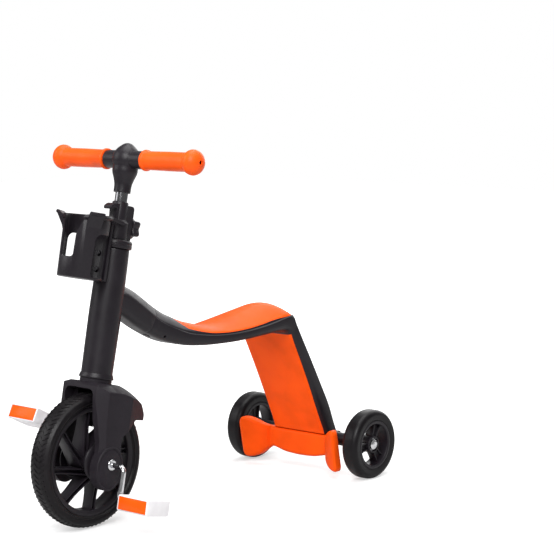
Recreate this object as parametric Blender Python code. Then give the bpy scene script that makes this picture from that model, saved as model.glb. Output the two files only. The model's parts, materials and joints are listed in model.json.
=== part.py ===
"""A child's three-wheel kick scooter whose rear frame turns over to make a balance bike or a pedal trike.

Metres, +Z up. The rider looks along -Y and +X is the rider's left. The floor is z = 0 and the
origin is on the floor under the middle of the whole scooter. It is shown as the pedal trike, with the frame
turned up into a seat. Distances back (y) in the values below count from the front axle.
"""
import math

import bmesh
import bpy
from mathutils import Matrix, Vector

# Fits between pieces
GAP = 0.0003
RUNNING_GAP = 0.0006
MERGE = 0.000001

# Front wheel
FRONT_TYRE_RADIUS = 0.1015
FRONT_TYRE_WIDTH = 0.038
FRONT_TYRE_HEIGHT = 0.0190
FRONT_RIM_WIDTH = 0.030
FRONT_RIM_WALL = 0.0070
FRONT_SPOKES = 8
FRONT_SPOKE_WIDTH = 0.0085
FRONT_SPOKE_DEPTH = 0.019
FRONT_SPOKE_ANGLE = 7.5
FRONT_HUB_RADIUS = 0.0200
FRONT_HUB_LENGTH = 0.050
HUB_CAP_RADIUS = 0.0290
HUB_CAP_DEPTH = 0.0060

# Steering geometry
RAKE = math.radians(12.5)
FORK_OFFSET = 0.0034
WHEEL_BASE = 0.521

# Heights along the steering axis, from the foot of the square dropped from the front axle
COLUMN_BOTTOM = 0.1223
COLUMN_LENGTH = 0.1957
RING_HEIGHT = 0.013
COLLAR_HEIGHT = 0.057
BAR_RISE = 0.0634

# Column, bearings and steerer
COLUMN_FOOT_RADIUS = 0.0262
COLUMN_LOW_RADIUS = 0.0238
COLUMN_MIDDLE_RADIUS = 0.0245
COLUMN_TOP_RADIUS = 0.0229
COLUMN_BORE_RADIUS = 0.0180
BEARING_LENGTH = 0.020
STEERER_RADIUS = 0.0125
STEERER_WALL = 0.0026
RING_RADIUS = 0.0260

# Clamp
COLLAR_RADIUS = 0.0165
COLLAR_TOP_RADIUS = 0.0122
COLLAR_STEP_RISE = 0.0294
CLAMP_BLOCK_HALF_WIDTH = 0.0108
CLAMP_BLOCK_REACH = 0.0212
CLAMP_BLOCK_DROP = 0.0046
CLAMP_BLOCK_LIFT = 0.0024
HOOK_TIP = 0.0262
HOOK_DROP = 0.0044
HOOK_TIP_HEIGHT = 0.0097
HOOK_HALF_WIDTH = 0.0085
CLAMP_SCREW_RADIUS = 0.0030
CLAMP_SCREW_RISE = 0.0204
KNOB_RADIUS = 0.0160
KNOB_LOBES = 5
KNOB_LOBE_HEIGHT = 0.0022
KNOB_LENGTH = 0.0130

# Handlebar
SLIDER_RADIUS = 0.0095
SLIDER_WALL = 0.0018
SLIDER_LENGTH = 0.2317
HEAD_DROP = 0.050
HEAD_NECK_RADIUS = 0.0128
HEAD_BALL_RADIUS = 0.0217
HEAD_TOP = 0.025
HEAD_SOCKET_DEPTH = 0.030
BAR_RADIUS = 0.0090
BAR_WALL = 0.0015
BAR_HALF_LENGTH = 0.1485
GRIP_RADIUS = 0.01375
GRIP_INNER_END = 0.0395
GRIP_FLANGE_RADIUS = 0.0158
GRIP_END_WALL = 0.0040
GRIP_BULB_HALF = 0.0155
GRIP_BULB_RADIUS = 0.0190
HEAD_SLEEVE_RADIUS = 0.0135
GRIP_END_HOLE_RADIUS = 0.0035

# Fork
FORK_BLANK = 0.060
FORK_TOP_RADIUS = 0.0240
CROWN_BACK = 0.0224
CROWN_SLOPE_START = 0.0270
CROWN_SLOPE_DROP = 0.0050
SHOULDER_HALF_WIDTH = 0.0495
SHOULDER_HEIGHT = 0.1065
SHOULDER_TOP = 0.1165
SHOULDER_CORNER = 0.0050
BLADE_OUTER_LOW = 0.0540
BLADE_WAIST = 0.060
BLADE_WAIST_STEP = 0.0008
BLADE_FOOT = -0.045
BLADE_FRONT_LOW = (-0.0195, 0.030)
BLADE_FRONT_MIDDLE = (-0.0245, 0.060)
BLADE_FRONT_HIGH = (-0.0310, 0.095)
BLADE_INNER_TOP = 0.0225
BLADE_INNER_LOW = 0.0385
BLADE_INNER_WAIST = 0.0310
BLADE_GAP_TOP = 0.090
BLADE_HALF_DEPTH = 0.0195
PLAN_HALF_WIDTH = 0.056
PLAN_FRONT = 0.0310
PLAN_FRONT_HALF_WIDTH = 0.0355
PLAN_FRONT_CORNER = 0.006
PLAN_SIDE = 0.0080
PLAN_SIDE_CORNER = 0.016
PLAN_BACK = 0.020
PLAN_BACK_CORNER = 0.020
PLAN_TAIL_CORNER = 0.012
HOOD_HALF_WIDTH = 0.0300
HOOD_BACK = 0.0120
HOOD_TOP = 0.1070
HOOD_CORNER = 0.010
DOME_INNER = (0.1196, 0.0220)
DOME_OUTER = (0.1040, 0.0523)
PAD_CENTRE = -0.006
PAD_HALF_HEIGHT = 0.033
PAD_HALF_DEPTH = 0.027
TAIL_BOTTOM = 0.068
TAIL_REACH = 0.0880
TAIL_HALF_WIDTH = 0.0265
TAIL_HOLLOW = 0.0215
TAIL_HOLLOW_STEP = 0.0080
TAIL_START_RADIUS = 0.1184
TAIL_END_RADIUS = 0.1094
TAIL_UNDERCUT = 0.034
TYRE_CLEARANCE = 0.0045
STEERER_SOCKET_DEPTH = 0.0130

# Cranks and pedals
CRANK_ROD_RADIUS = 0.0040
CRANK_LENGTH = 0.0480
CRANK_PLANE = 0.0800
CRANK_BEND_RADIUS = 0.0090
CRANK_ANGLE = -12.4
CRANK_PLUG_START = 0.0040
BUSH_RADIUS = 0.0070
BUSH_FLANGE_RADIUS = 0.0100
WASHER_RADIUS = 0.0080
WASHER_THICKNESS = 0.0016
PEDAL_START = 0.0990
PEDAL_LENGTH = 0.0600
PEDAL_WIDTH = 0.0470
PEDAL_THICKNESS = 0.0230
PEDAL_NEAR_TILT = 11.0
PEDAL_FAR_TILT = 27.0
REFLECTOR_MARGIN = 0.0018
REFLECTOR_DEPTH = 0.0030
PEDAL_END_WALL = 0.0040

# Neck and the axis that the rear frame turns on
NECK_CENTRE_Y = 0.1000
NECK_CENTRE_Z = 0.3095
NECK_SEAM = 0.0300
LOCK_PLACE = 0.0440
LOCK_TURN = (-math.pi / 2, 0, 0)
LOCK_PIN_RADIUS = 0.0025
LOCK_PIN_DEPTH = 0.0040
LOCK_KNOB_RADIUS = 0.0065
LOCK_KNOB_SEAT = 0.0120
LOCK_KNOB_END = 0.0165
SPIGOT_RADIUS = 0.0090
SPIGOT_START = -0.0240
SPIGOT_END = 0.0550
SPIGOT_HEAD_RADIUS = 0.0125
SPIGOT_HEAD_LENGTH = 0.0040

# Neck, seat and leg, seen from the side: (y, top edge, bottom edge)
NECK_HALF_WIDTH = 0.0210
SEAT_HALF_WIDTH = 0.0580
FRAME_CORNER = 0.0080
SEAT_PANEL_START = 0.178
SEAT_PANEL_EDGE = 0.0050
LEG_RAIL = 0.0035
LEG_PANEL_DEPTH = 0.0040
SEAT_EDGES = (
    (0.040, 0.360, 0.3300),
    (0.060, 0.356, 0.3165),
    (0.080, 0.349, 0.3035),
    (0.100, 0.336, 0.2905),
    (0.120, 0.322, 0.2790),
    (0.140, 0.308, 0.2690),
    (0.160, 0.296, 0.2612),
    (0.180, 0.2870, 0.2555),
    (0.200, 0.2790, 0.2515),
    (0.220, 0.2745, 0.2497),
    (0.240, 0.2722, 0.2492),
    (0.260, 0.2714, 0.2495),
    (0.280, 0.2718, 0.2500),
    (0.310, 0.2738, 0.2515),
    (0.340, 0.2770, 0.2530),
    (0.370, 0.2806, 0.2540),
)
SEAT_CORNER = (
    ((0.3950, 0.2832, 0.0165), (0.3880, 0.2535)),
    ((0.4080, 0.2830, 0.0105), (0.3970, 0.2520)),
    ((0.4170, 0.2770, 0.0060), (0.4040, 0.2485)),
    ((0.4220, 0.2670, 0.0035), (0.4090, 0.2425)),
)
LEG_EDGES = (
    ((0.4330, 0.2460), (0.4165, 0.2290)),
    ((0.4600, 0.1998), (0.4350, 0.1912)),
    ((0.4860, 0.1535), (0.4560, 0.1470)),
    ((0.5050, 0.1190), (0.4740, 0.1090)),
    ((0.5190, 0.0850), (0.4870, 0.0800)),
    ((0.5262, 0.0688), (0.4908, 0.0688)),
)

# Rear wheels
REAR_TYRE_RADIUS = 0.0574
REAR_TYRE_WIDTH = 0.0300
REAR_TYRE_HEIGHT = 0.0170
REAR_WHEEL_PLANE = 0.1275
REAR_RIM_WALL = 0.0060
REAR_SPOKES = 3
REAR_SPOKE_WIDTH = 0.0120
REAR_HUB_RADIUS = 0.0140
REAR_BEARING_RADIUS = 0.0110
REAR_AXLE_RADIUS = 0.0040
AXLE_NUT_RADIUS = 0.0085
AXLE_NUT_LENGTH = 0.0060
REAR_LEFT_SPOKE_ANGLE = 37.0
REAR_RIGHT_SPOKE_ANGLE = 180.0
REAR_SPOKE_DEPTH = 0.0140
REAR_BEARING_HALF = 0.0070
AXLE_END = 0.1390

# Beam and cover at the foot of the leg, measured from the axle as (back, up).
# The cover's sections: place across, front, back, bottom, top, and how far the bottom leans back
BEAM_FRONT = -0.0127
BEAM_BACK = 0.0130
BEAM_TOP = 0.0111
BEAM_BOTTOM = -0.0130
BEAM_HALF_LENGTH = 0.0580
BOSS_RADIUS = 0.0110
BOSS_END = 0.1100
COVER_STATIONS = (
    (0.0000, 0.4900, 0.5080, 0.0250, 0.0670, 0),
    (0.0300, 0.4905, 0.5080, 0.0265, 0.0670, 0),
    (0.0580, 0.4910, 0.5080, 0.0320, 0.0670, 0),
    (0.0640, 0.4830, 0.5000, 0.0300, 0.0685, 0.0010),
    (0.0710, 0.4740, 0.4920, 0.0230, 0.0720, 0.0030),
    (0.0800, 0.4660, 0.4850, 0.0165, 0.0780, 0.0060),
    (0.0900, 0.4590, 0.4780, 0.0135, 0.0830, 0.0090),
    (0.0985, 0.4545, 0.4710, 0.0140, 0.0840, 0.0110),
    (0.1025, 0.4550, 0.4680, 0.0195, 0.0790, 0.0110),
)

# Cup holder
CUP_RIM_LIFT = 0.006
CUP_RADIUS = 0.0345
CUP_WALL = 0.0024
CUP_CENTRE = -0.0620
CUP_RISE = 0.039
CUP_HEIGHT = 0.092
CUP_RIM_HEIGHT = 0.008
CUP_RIM_STEP = 0.0015
CUP_WINDOW_SILL = 0.0295
CUP_WINDOW_HALF_LOW = 0.0125
CUP_WINDOW_HALF_TOP = 0.0250
CUP_SIDE_FRONT = -0.0670
CUP_SIDE_BACK = -0.0335
CUP_SIDE_DROP = 0.025
CUP_ARM_GAP = 0.0175
CUP_ARM_END = -0.006
CUP_LIP_ANGLE = 52.0
CUP_LIP_REACH = 0.0120
CUP_PLATE_HALF_WIDTH = 0.0200
CUP_PLATE_THICKNESS = 0.0045
CUP_SCREW_RISES = (0.018, 0.042)
SMALL_SCREW_RADIUS = 0.0024
SMALL_SCREW_HEAD_RADIUS = 0.0044
SMALL_SCREW_HEAD = 0.0020

# Sides of round shapes
ROUND_STEPS = 36
REAR_STEPS = 32
COLUMN_STEPS = 24
TUBE_STEPS = 20
SMALL_STEPS = 14

# Colours as (red, green, blue), roughness and metallic value
FINISHES = {
    "charcoal": ((0.030, 0.027, 0.033), 0.45, 0.0),
    "orange": ((0.95, 0.13, 0.012), 0.40, 0.0),
    "orange_grip": ((0.96, 0.14, 0.02), 0.55, 0.0),
    "tyre": ((0.018, 0.017, 0.020), 0.75, 0.0),
    "chrome": ((0.80, 0.80, 0.82), 0.12, 1.0),
    "steel": ((0.55, 0.55, 0.57), 0.30, 1.0),
    "black_steel": ((0.05, 0.05, 0.055), 0.35, 0.8),
    "white": ((0.85, 0.84, 0.86), 0.40, 0.0),
    "reflector": ((0.95, 0.16, 0.01), 0.20, 0.0),
}


def clear_scene():
    """Removes what the scene holds at the start."""
    for item in list(bpy.data.objects):
        bpy.data.objects.remove(item)


def finish(kind):
    """The material of that kind, made on first use."""
    made = bpy.data.materials.get(kind)
    if made:
        return made
    colour, roughness, metallic = FINISHES[kind]
    made = bpy.data.materials.new(kind)
    made.use_nodes = True
    shader = made.node_tree.nodes["Principled BSDF"]
    shader.inputs["Base Color"].default_value = (*colour, 1.0)
    shader.inputs["Roughness"].default_value = roughness
    shader.inputs["Metallic"].default_value = metallic
    return made


def add_piece(name, bm, kind, parent=None, location=(0, 0, 0), turn=None):
    """Makes a named object of the mesh, shaded smooth with sharp edges kept."""
    bmesh.ops.recalc_face_normals(bm, faces=bm.faces)
    mesh = bpy.data.meshes.new(name)
    bm.to_mesh(mesh)
    bm.free()
    mesh.shade_smooth()
    mesh.set_sharp_from_angle(angle=math.radians(35))
    mesh.materials.append(finish(kind))
    piece = bpy.data.objects.new(name, mesh)
    bpy.context.scene.collection.objects.link(piece)
    piece.parent = parent
    piece.location = location
    if turn:
        piece.rotation_euler = turn
    return piece


def add_frame(name, location, turn=(0, 0, 0), parent=None):
    """An empty that carries the pieces of one joint."""
    empty = bpy.data.objects.new(name, None)
    bpy.context.scene.collection.objects.link(empty)
    empty.location = location
    empty.rotation_euler = turn
    empty.parent = parent
    return empty


def hide_helper(piece):
    """Keeps a cutter or a guide out of the model."""
    piece.hide_render = True
    piece.display_type = "WIRE"


def combine(piece, other, operation):
    """Adds a Boolean of the other shape, which becomes a hidden helper."""
    modifier = piece.modifiers.new(other.name, "BOOLEAN")
    modifier.operation = operation
    modifier.object = other
    hide_helper(other)
    return piece


def cut(piece, *cutters):
    for cutter in cutters:
        combine(piece, cutter, "DIFFERENCE")
    return piece


def join(piece, *others):
    for other in others:
        combine(piece, other, "UNION")
    return piece


def arc(centre, radius, start, end, steps):
    """Points along a circular arc, angles in degrees."""
    points = []
    for step in range(steps + 1):
        angle = math.radians(start + (end - start) * step / steps)
        points.append((centre[0] + radius * math.cos(angle), centre[1] + radius * math.sin(angle)))
    return points


def rounded(corners, steps=4):
    """An outline from corners (u, v, radius), each corner rounded by its own radius."""
    outline = []
    for index, (u, v, radius) in enumerate(corners):
        corner = Vector((u, v))
        if radius <= 0:
            outline.append(tuple(corner))
            continue
        before = (Vector(corners[index - 1][:2]) - corner).normalized()
        after = (Vector(corners[(index + 1) % len(corners)][:2]) - corner).normalized()
        half = before.angle(after) / 2
        reach = radius / math.tan(half)
        centre = corner + (before + after).normalized() * (radius / math.sin(half))
        first = corner + before * reach - centre
        last = corner + after * reach - centre
        sweep = first.angle_signed(last)
        for step in range(steps + 1):
            turn = Matrix.Rotation(-sweep * step / steps, 2)
            outline.append(tuple(centre + turn @ first))
    return outline


def prism(name, outline, low, high, across, kind="charcoal", parent=None, location=(0, 0, 0), turn=None):
    """Extrudes an outline between two distances along the axis named by across.

    The outline's (u, v) are (y, z) across X, (x, z) across Y and (x, y) across Z.
    """
    place = {
        "X": lambda u, v, w: (w, u, v),
        "Y": lambda u, v, w: (u, w, v),
        "Z": lambda u, v, w: (u, v, w),
    }[across]
    bm = bmesh.new()
    face = bm.faces.new([bm.verts.new(place(u, v, low)) for u, v in outline])
    grown = bmesh.ops.extrude_face_region(bm, geom=[face])
    lifted = [item for item in grown["geom"] if isinstance(item, bmesh.types.BMVert)]
    bmesh.ops.translate(bm, verts=lifted, vec=place(0, 0, high - low))
    return add_piece(name, bm, kind, parent, location, turn)


def turned(name, profile, kind="charcoal", parent=None, location=(0, 0, 0), turn=None, steps=ROUND_STEPS):
    """Spins a (radius, height) profile once round Z. A profile that starts and ends on the axis is left open."""
    bm = bmesh.new()
    verts = [bm.verts.new((radius, 0, height)) for radius, height in profile]
    pairs = list(zip(verts, verts[1:]))
    if profile[0][0] > 0 or profile[-1][0] > 0:
        pairs.append((verts[-1], verts[0]))
    edges = [bm.edges.new(pair) for pair in pairs]
    bmesh.ops.spin(
        bm, geom=verts + edges, cent=(0, 0, 0), axis=(0, 0, 1), angle=math.tau, steps=steps, use_merge=True
    )
    bmesh.ops.remove_doubles(bm, verts=bm.verts, dist=MERGE)
    return add_piece(name, bm, kind, parent, location, turn)


def rod(name, radius, low, high, across="Z", kind="charcoal", parent=None, location=(0, 0, 0), steps=SMALL_STEPS):
    """A round bar along one axis."""
    outline = arc((0, 0), radius, 0, 360, steps)[:-1]
    return prism(name, outline, low, high, across, kind, parent, location)


def lofted(name, rings, kind="charcoal", parent=None, location=(0, 0, 0), turn=None):
    """Joins rings of as many points each into one closed skin."""
    bm = bmesh.new()
    loops = [[bm.verts.new(point) for point in ring] for ring in rings]
    for lower, upper in zip(loops, loops[1:]):
        for index in range(len(lower)):
            after = (index + 1) % len(lower)
            bm.faces.new((lower[index], lower[after], upper[after], upper[index]))
    bm.faces.new(loops[0])
    bm.faces.new(loops[-1])
    return add_piece(name, bm, kind, parent, location, turn)


def swept_rod(path, radius, sides):
    """Rings of a round bar that follows points in a plane through X, each point (x, depth)."""
    rings = []
    for index, point in enumerate(path):
        before = Vector(path[max(index - 1, 0)])
        after = Vector(path[min(index + 1, len(path) - 1)])
        along = (after - before).normalized()
        side = Vector((-along.y, along.x))
        ring = []
        for step in range(sides):
            angle = math.tau * step / sides
            offset = side * (radius * math.cos(angle))
            ring.append((point[0] + offset.x, point[1] + offset.y, radius * math.sin(angle)))
        rings.append(ring)
    return rings


def smooth_step(value, start, end):
    """Rises smoothly from 0 at start to 1 at end."""
    share = min(max((value - start) / (end - start), 0.0), 1.0)
    return share * share * (3 - 2 * share)


COLUMN_TOP = COLUMN_BOTTOM + COLUMN_LENGTH
RING_TOP = COLUMN_TOP + GAP + RING_HEIGHT
COLLAR_BASE = RING_TOP + GAP
COLLAR_TOP = COLLAR_BASE + COLLAR_HEIGHT
COLLAR_STEP = COLLAR_BASE + COLLAR_STEP_RISE
CLAMP_SCREW_HEIGHT = COLLAR_BASE + CLAMP_SCREW_RISE
CLAMP_BLOCK_BOTTOM = COLLAR_BASE + CLAMP_BLOCK_LIFT
CLAMP_BLOCK_TOP = COLLAR_TOP - CLAMP_BLOCK_DROP
HOOK_TOP = COLLAR_TOP - HOOK_DROP
HOOK_TIP_BOTTOM = HOOK_TOP - HOOK_TIP_HEIGHT
BAR_HEIGHT = COLLAR_TOP + BAR_RISE
HEAD_NECK_BOTTOM = BAR_HEIGHT - HEAD_DROP
GRIP_END = BAR_HALF_LENGTH + GRIP_END_WALL
GRIP_BULB_CENTRE = GRIP_END - GRIP_BULB_HALF
CUP_TOP = COLUMN_TOP + CUP_RISE
CUP_BOTTOM = CUP_TOP - CUP_HEIGHT
CUP_WINDOW_BOTTOM = CUP_BOTTOM + CUP_WINDOW_SILL
CUP_SIDE_TOP = CUP_TOP - CUP_SIDE_DROP
STEERER_BORE = STEERER_RADIUS - STEERER_WALL
AXIS_FOOT = Vector((0, -FORK_OFFSET * math.cos(RAKE), FRONT_TYRE_RADIUS + FORK_OFFSET * math.sin(RAKE)))


def build_column(steering):
    """Head tube with its two bearings."""
    profile = [
        (0, COLUMN_BOTTOM),
        (COLUMN_FOOT_RADIUS - 0.001, COLUMN_BOTTOM),
        (COLUMN_FOOT_RADIUS, COLUMN_BOTTOM + 0.001),
        (COLUMN_FOOT_RADIUS - 0.0006, COLUMN_BOTTOM + 0.004),
        (COLUMN_LOW_RADIUS, COLUMN_BOTTOM + 0.010),
        (COLUMN_MIDDLE_RADIUS, (COLUMN_BOTTOM + COLUMN_TOP) / 2),
        (COLUMN_TOP_RADIUS, COLUMN_TOP - 0.001),
        (COLUMN_TOP_RADIUS - 0.001, COLUMN_TOP),
        (0, COLUMN_TOP),
    ]
    column = turned("column", profile, parent=steering, steps=COLUMN_STEPS)
    inner = STEERER_RADIUS + GAP
    outer = COLUMN_BORE_RADIUS - GAP
    for name, low in (("lower_bearing", COLUMN_BOTTOM), ("upper_bearing", COLUMN_TOP - BEARING_LENGTH)):
        ring = [(inner, low), (outer, low), (outer, low + BEARING_LENGTH), (inner, low + BEARING_LENGTH)]
        turned(name, ring, "white", steering, steps=TUBE_STEPS)
    return column


def build_steerer(steering):
    """Steerer tube, the ring on top of the column and the clamp collar with its bag hook."""
    low = COLUMN_BOTTOM - GAP - STEERER_SOCKET_DEPTH + GAP
    high = COLLAR_STEP - 0.0025
    tube = turned(
        "steerer_tube",
        [(STEERER_BORE, low), (STEERER_RADIUS, low), (STEERER_RADIUS, high), (STEERER_BORE, high)],
        "steel",
        steering,
        steps=TUBE_STEPS,
    )
    screw_hole = CLAMP_SCREW_RADIUS + GAP
    cut(tube, rod("steerer_screw_hole", screw_hole, 0, 0.03, "Y", parent=steering, location=(0, 0, CLAMP_SCREW_HEIGHT)))
    inner = STEERER_RADIUS + GAP
    base = COLUMN_TOP + GAP
    turned(
        "headset_ring",
        [
            (inner, base),
            (RING_RADIUS - 0.002, base),
            (RING_RADIUS, base + 0.002),
            (RING_RADIUS, RING_TOP - 0.003),
            (RING_RADIUS - 0.003, RING_TOP),
            (inner, RING_TOP),
        ],
        parent=steering,
        steps=COLUMN_STEPS,
    )
    base = COLLAR_BASE
    collar = turned(
        "clamp_collar",
        [
            (0.001, base),
            (COLLAR_RADIUS, base),
            (COLLAR_RADIUS, COLLAR_STEP - 0.0040),
            (COLLAR_TOP_RADIUS, COLLAR_STEP),
            (COLLAR_TOP_RADIUS, COLLAR_TOP - 0.002),
            (COLLAR_TOP_RADIUS - 0.002, COLLAR_TOP),
            (0.001, COLLAR_TOP),
        ],
        parent=steering,
        steps=TUBE_STEPS,
    )
    block = prism(
        "clamp_block",
        rounded(
            [
                (0.004, CLAMP_BLOCK_BOTTOM, 0),
                (CLAMP_BLOCK_REACH, CLAMP_BLOCK_BOTTOM, 0.002),
                (CLAMP_BLOCK_REACH, CLAMP_BLOCK_TOP, 0.005),
                (0.004, CLAMP_BLOCK_TOP, 0),
            ]
        ),
        -CLAMP_BLOCK_HALF_WIDTH,
        CLAMP_BLOCK_HALF_WIDTH,
        "X",
        parent=steering,
    )
    hook = prism(
        "bag_hook_shape",
        rounded(
            [
                (-0.006, HOOK_TOP, 0),
                (-HOOK_TIP, HOOK_TOP, 0.0025),
                (-HOOK_TIP, HOOK_TIP_BOTTOM, 0.0012),
                (-HOOK_TIP + 0.0035, HOOK_TIP_BOTTOM, 0.0012),
                (-HOOK_TIP + 0.0060, HOOK_TOP - 0.0065, 0.0020),
                (-COLLAR_TOP_RADIUS - 0.0010, HOOK_TOP - 0.0075, 0.0030),
                (-COLLAR_TOP_RADIUS + 0.0005, COLLAR_STEP - 0.0010, 0),
                (-0.006, COLLAR_STEP - 0.0010, 0),
            ]
        ),
        -HOOK_HALF_WIDTH,
        HOOK_HALF_WIDTH,
        "X",
        parent=steering,
    )
    join(collar, block, hook)
    bore = rod("collar_bore", inner, base - 0.01, high + GAP, parent=steering, steps=TUBE_STEPS)
    throat = rod("collar_throat", SLIDER_RADIUS + GAP, base - 0.01, COLLAR_TOP + 0.01, parent=steering, steps=TUBE_STEPS)
    hole = rod("collar_screw_hole", screw_hole, 0, 0.05, "Y", parent=steering, location=(0, 0, CLAMP_SCREW_HEIGHT))
    cut(collar, bore, throat, hole)


def build_clamp(steering):
    """The screw that presses on the slider and its star knob."""
    screw_start = SLIDER_RADIUS + GAP
    knob_start = CLAMP_BLOCK_REACH + GAP
    place = (0, 0, CLAMP_SCREW_HEIGHT)
    screw_end = knob_start + KNOB_LENGTH * 0.7
    rod("clamp_screw", CLAMP_SCREW_RADIUS, screw_start, screw_end, "Y", "steel", steering, place)
    outline = []
    points = KNOB_LOBES * 8
    for step in range(points):
        angle = math.tau * step / points
        radius = KNOB_RADIUS - KNOB_LOBE_HEIGHT * (1 - math.cos(KNOB_LOBES * angle)) / 2
        outline.append((radius * math.sin(angle), radius * math.cos(angle)))
    shrink = 0.86
    rings = []
    for share, depth in ((0.80, 0.0), (1.0, 0.0025), (1.0, KNOB_LENGTH - 0.0025), (shrink, KNOB_LENGTH)):
        rings.append([(u * share, knob_start + depth, v * share) for u, v in outline])
    knob = lofted("clamp_knob", rings, parent=steering, location=place)
    cut(knob, rod("knob_bore", CLAMP_SCREW_RADIUS + GAP, 0, screw_end + GAP, "Y", parent=steering, location=place, steps=SMALL_STEPS))


def build_handlebar(steering):
    """Slider tube, head, bar and grips."""
    inner = SLIDER_RADIUS - SLIDER_WALL
    top = HEAD_NECK_BOTTOM + HEAD_SOCKET_DEPTH - GAP
    bottom = top - SLIDER_LENGTH
    turned(
        "slider_tube",
        [(inner, bottom), (SLIDER_RADIUS, bottom), (SLIDER_RADIUS, top), (inner, top)],
        "steel",
        steering,
        steps=TUBE_STEPS,
    )
    socket = SLIDER_RADIUS + GAP
    ball = []
    for degrees in (-35, -15, 5, 25, 45):
        angle = math.radians(degrees)
        ball.append((HEAD_BALL_RADIUS * math.cos(angle), BAR_HEIGHT + HEAD_BALL_RADIUS * math.sin(angle)))
    head = turned(
        "stem_head",
        [
            (0, HEAD_NECK_BOTTOM + HEAD_SOCKET_DEPTH),
            (socket, HEAD_NECK_BOTTOM + HEAD_SOCKET_DEPTH),
            (socket, HEAD_NECK_BOTTOM),
            (HEAD_NECK_RADIUS, HEAD_NECK_BOTTOM),
            (HEAD_NECK_RADIUS + 0.0004, HEAD_NECK_BOTTOM + 0.012),
            (0.0160, HEAD_NECK_BOTTOM + 0.022),
            (0.0190, HEAD_NECK_BOTTOM + 0.031),
            *ball,
            (0.0090, BAR_HEIGHT + HEAD_TOP - 0.0025),
            (0, BAR_HEIGHT + HEAD_TOP),
        ],
        parent=steering,
        steps=TUBE_STEPS,
    )
    bar_place = (0, 0, BAR_HEIGHT)
    sleeve_end = GRIP_INNER_END - GAP
    join(head, rod("head_sleeves", HEAD_SLEEVE_RADIUS, -sleeve_end, sleeve_end, "X", parent=steering, location=bar_place, steps=TUBE_STEPS))
    cut(head, rod("head_bar_hole", BAR_RADIUS + GAP, -0.05, 0.05, "X", parent=steering, location=bar_place, steps=TUBE_STEPS))
    along_x = (0, math.pi / 2, 0)
    bore = BAR_RADIUS - BAR_WALL
    turned(
        "handlebar_tube",
        [(bore, -BAR_HALF_LENGTH), (BAR_RADIUS, -BAR_HALF_LENGTH), (BAR_RADIUS, BAR_HALF_LENGTH), (bore, BAR_HALF_LENGTH)],
        "steel",
        steering,
        bar_place,
        along_x,
        TUBE_STEPS,
    )
    inner = BAR_RADIUS + GAP
    profile = [
        (inner, GRIP_INNER_END),
        (GRIP_RADIUS - 0.001, GRIP_INNER_END),
        (GRIP_FLANGE_RADIUS, GRIP_INNER_END + 0.0015),
        (GRIP_FLANGE_RADIUS, GRIP_INNER_END + 0.0045),
        (GRIP_RADIUS, GRIP_INNER_END + 0.0065),
        (GRIP_RADIUS + 0.0005, (GRIP_INNER_END + GRIP_BULB_CENTRE) / 2),
    ]
    for degrees in (132, 110, 85, 60, 35, 12):
        angle = math.radians(degrees)
        profile.append((GRIP_BULB_RADIUS * math.sin(angle), GRIP_BULB_CENTRE + GRIP_BULB_HALF * math.cos(angle)))
    profile += [
        (GRIP_END_HOLE_RADIUS, profile[-1][1]),
        (GRIP_END_HOLE_RADIUS, BAR_HALF_LENGTH + GAP),
        (inner, BAR_HALF_LENGTH + GAP),
    ]
    turned("grip_left", profile, "orange_grip", steering, bar_place, along_x, SMALL_STEPS + 2)
    turned("grip_right", profile, "orange_grip", steering, bar_place, (0, -math.pi / 2, 0), SMALL_STEPS + 2)


def pad_outline(steps=22):
    """The oval at the foot of a fork blade, as (back, up)."""
    points = []
    for step in range(steps):
        angle = math.tau * step / steps
        points.append((FORK_OFFSET / 2 + PAD_HALF_DEPTH * math.cos(angle), PAD_CENTRE + PAD_HALF_HEIGHT * math.sin(angle)))
    return points


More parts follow.
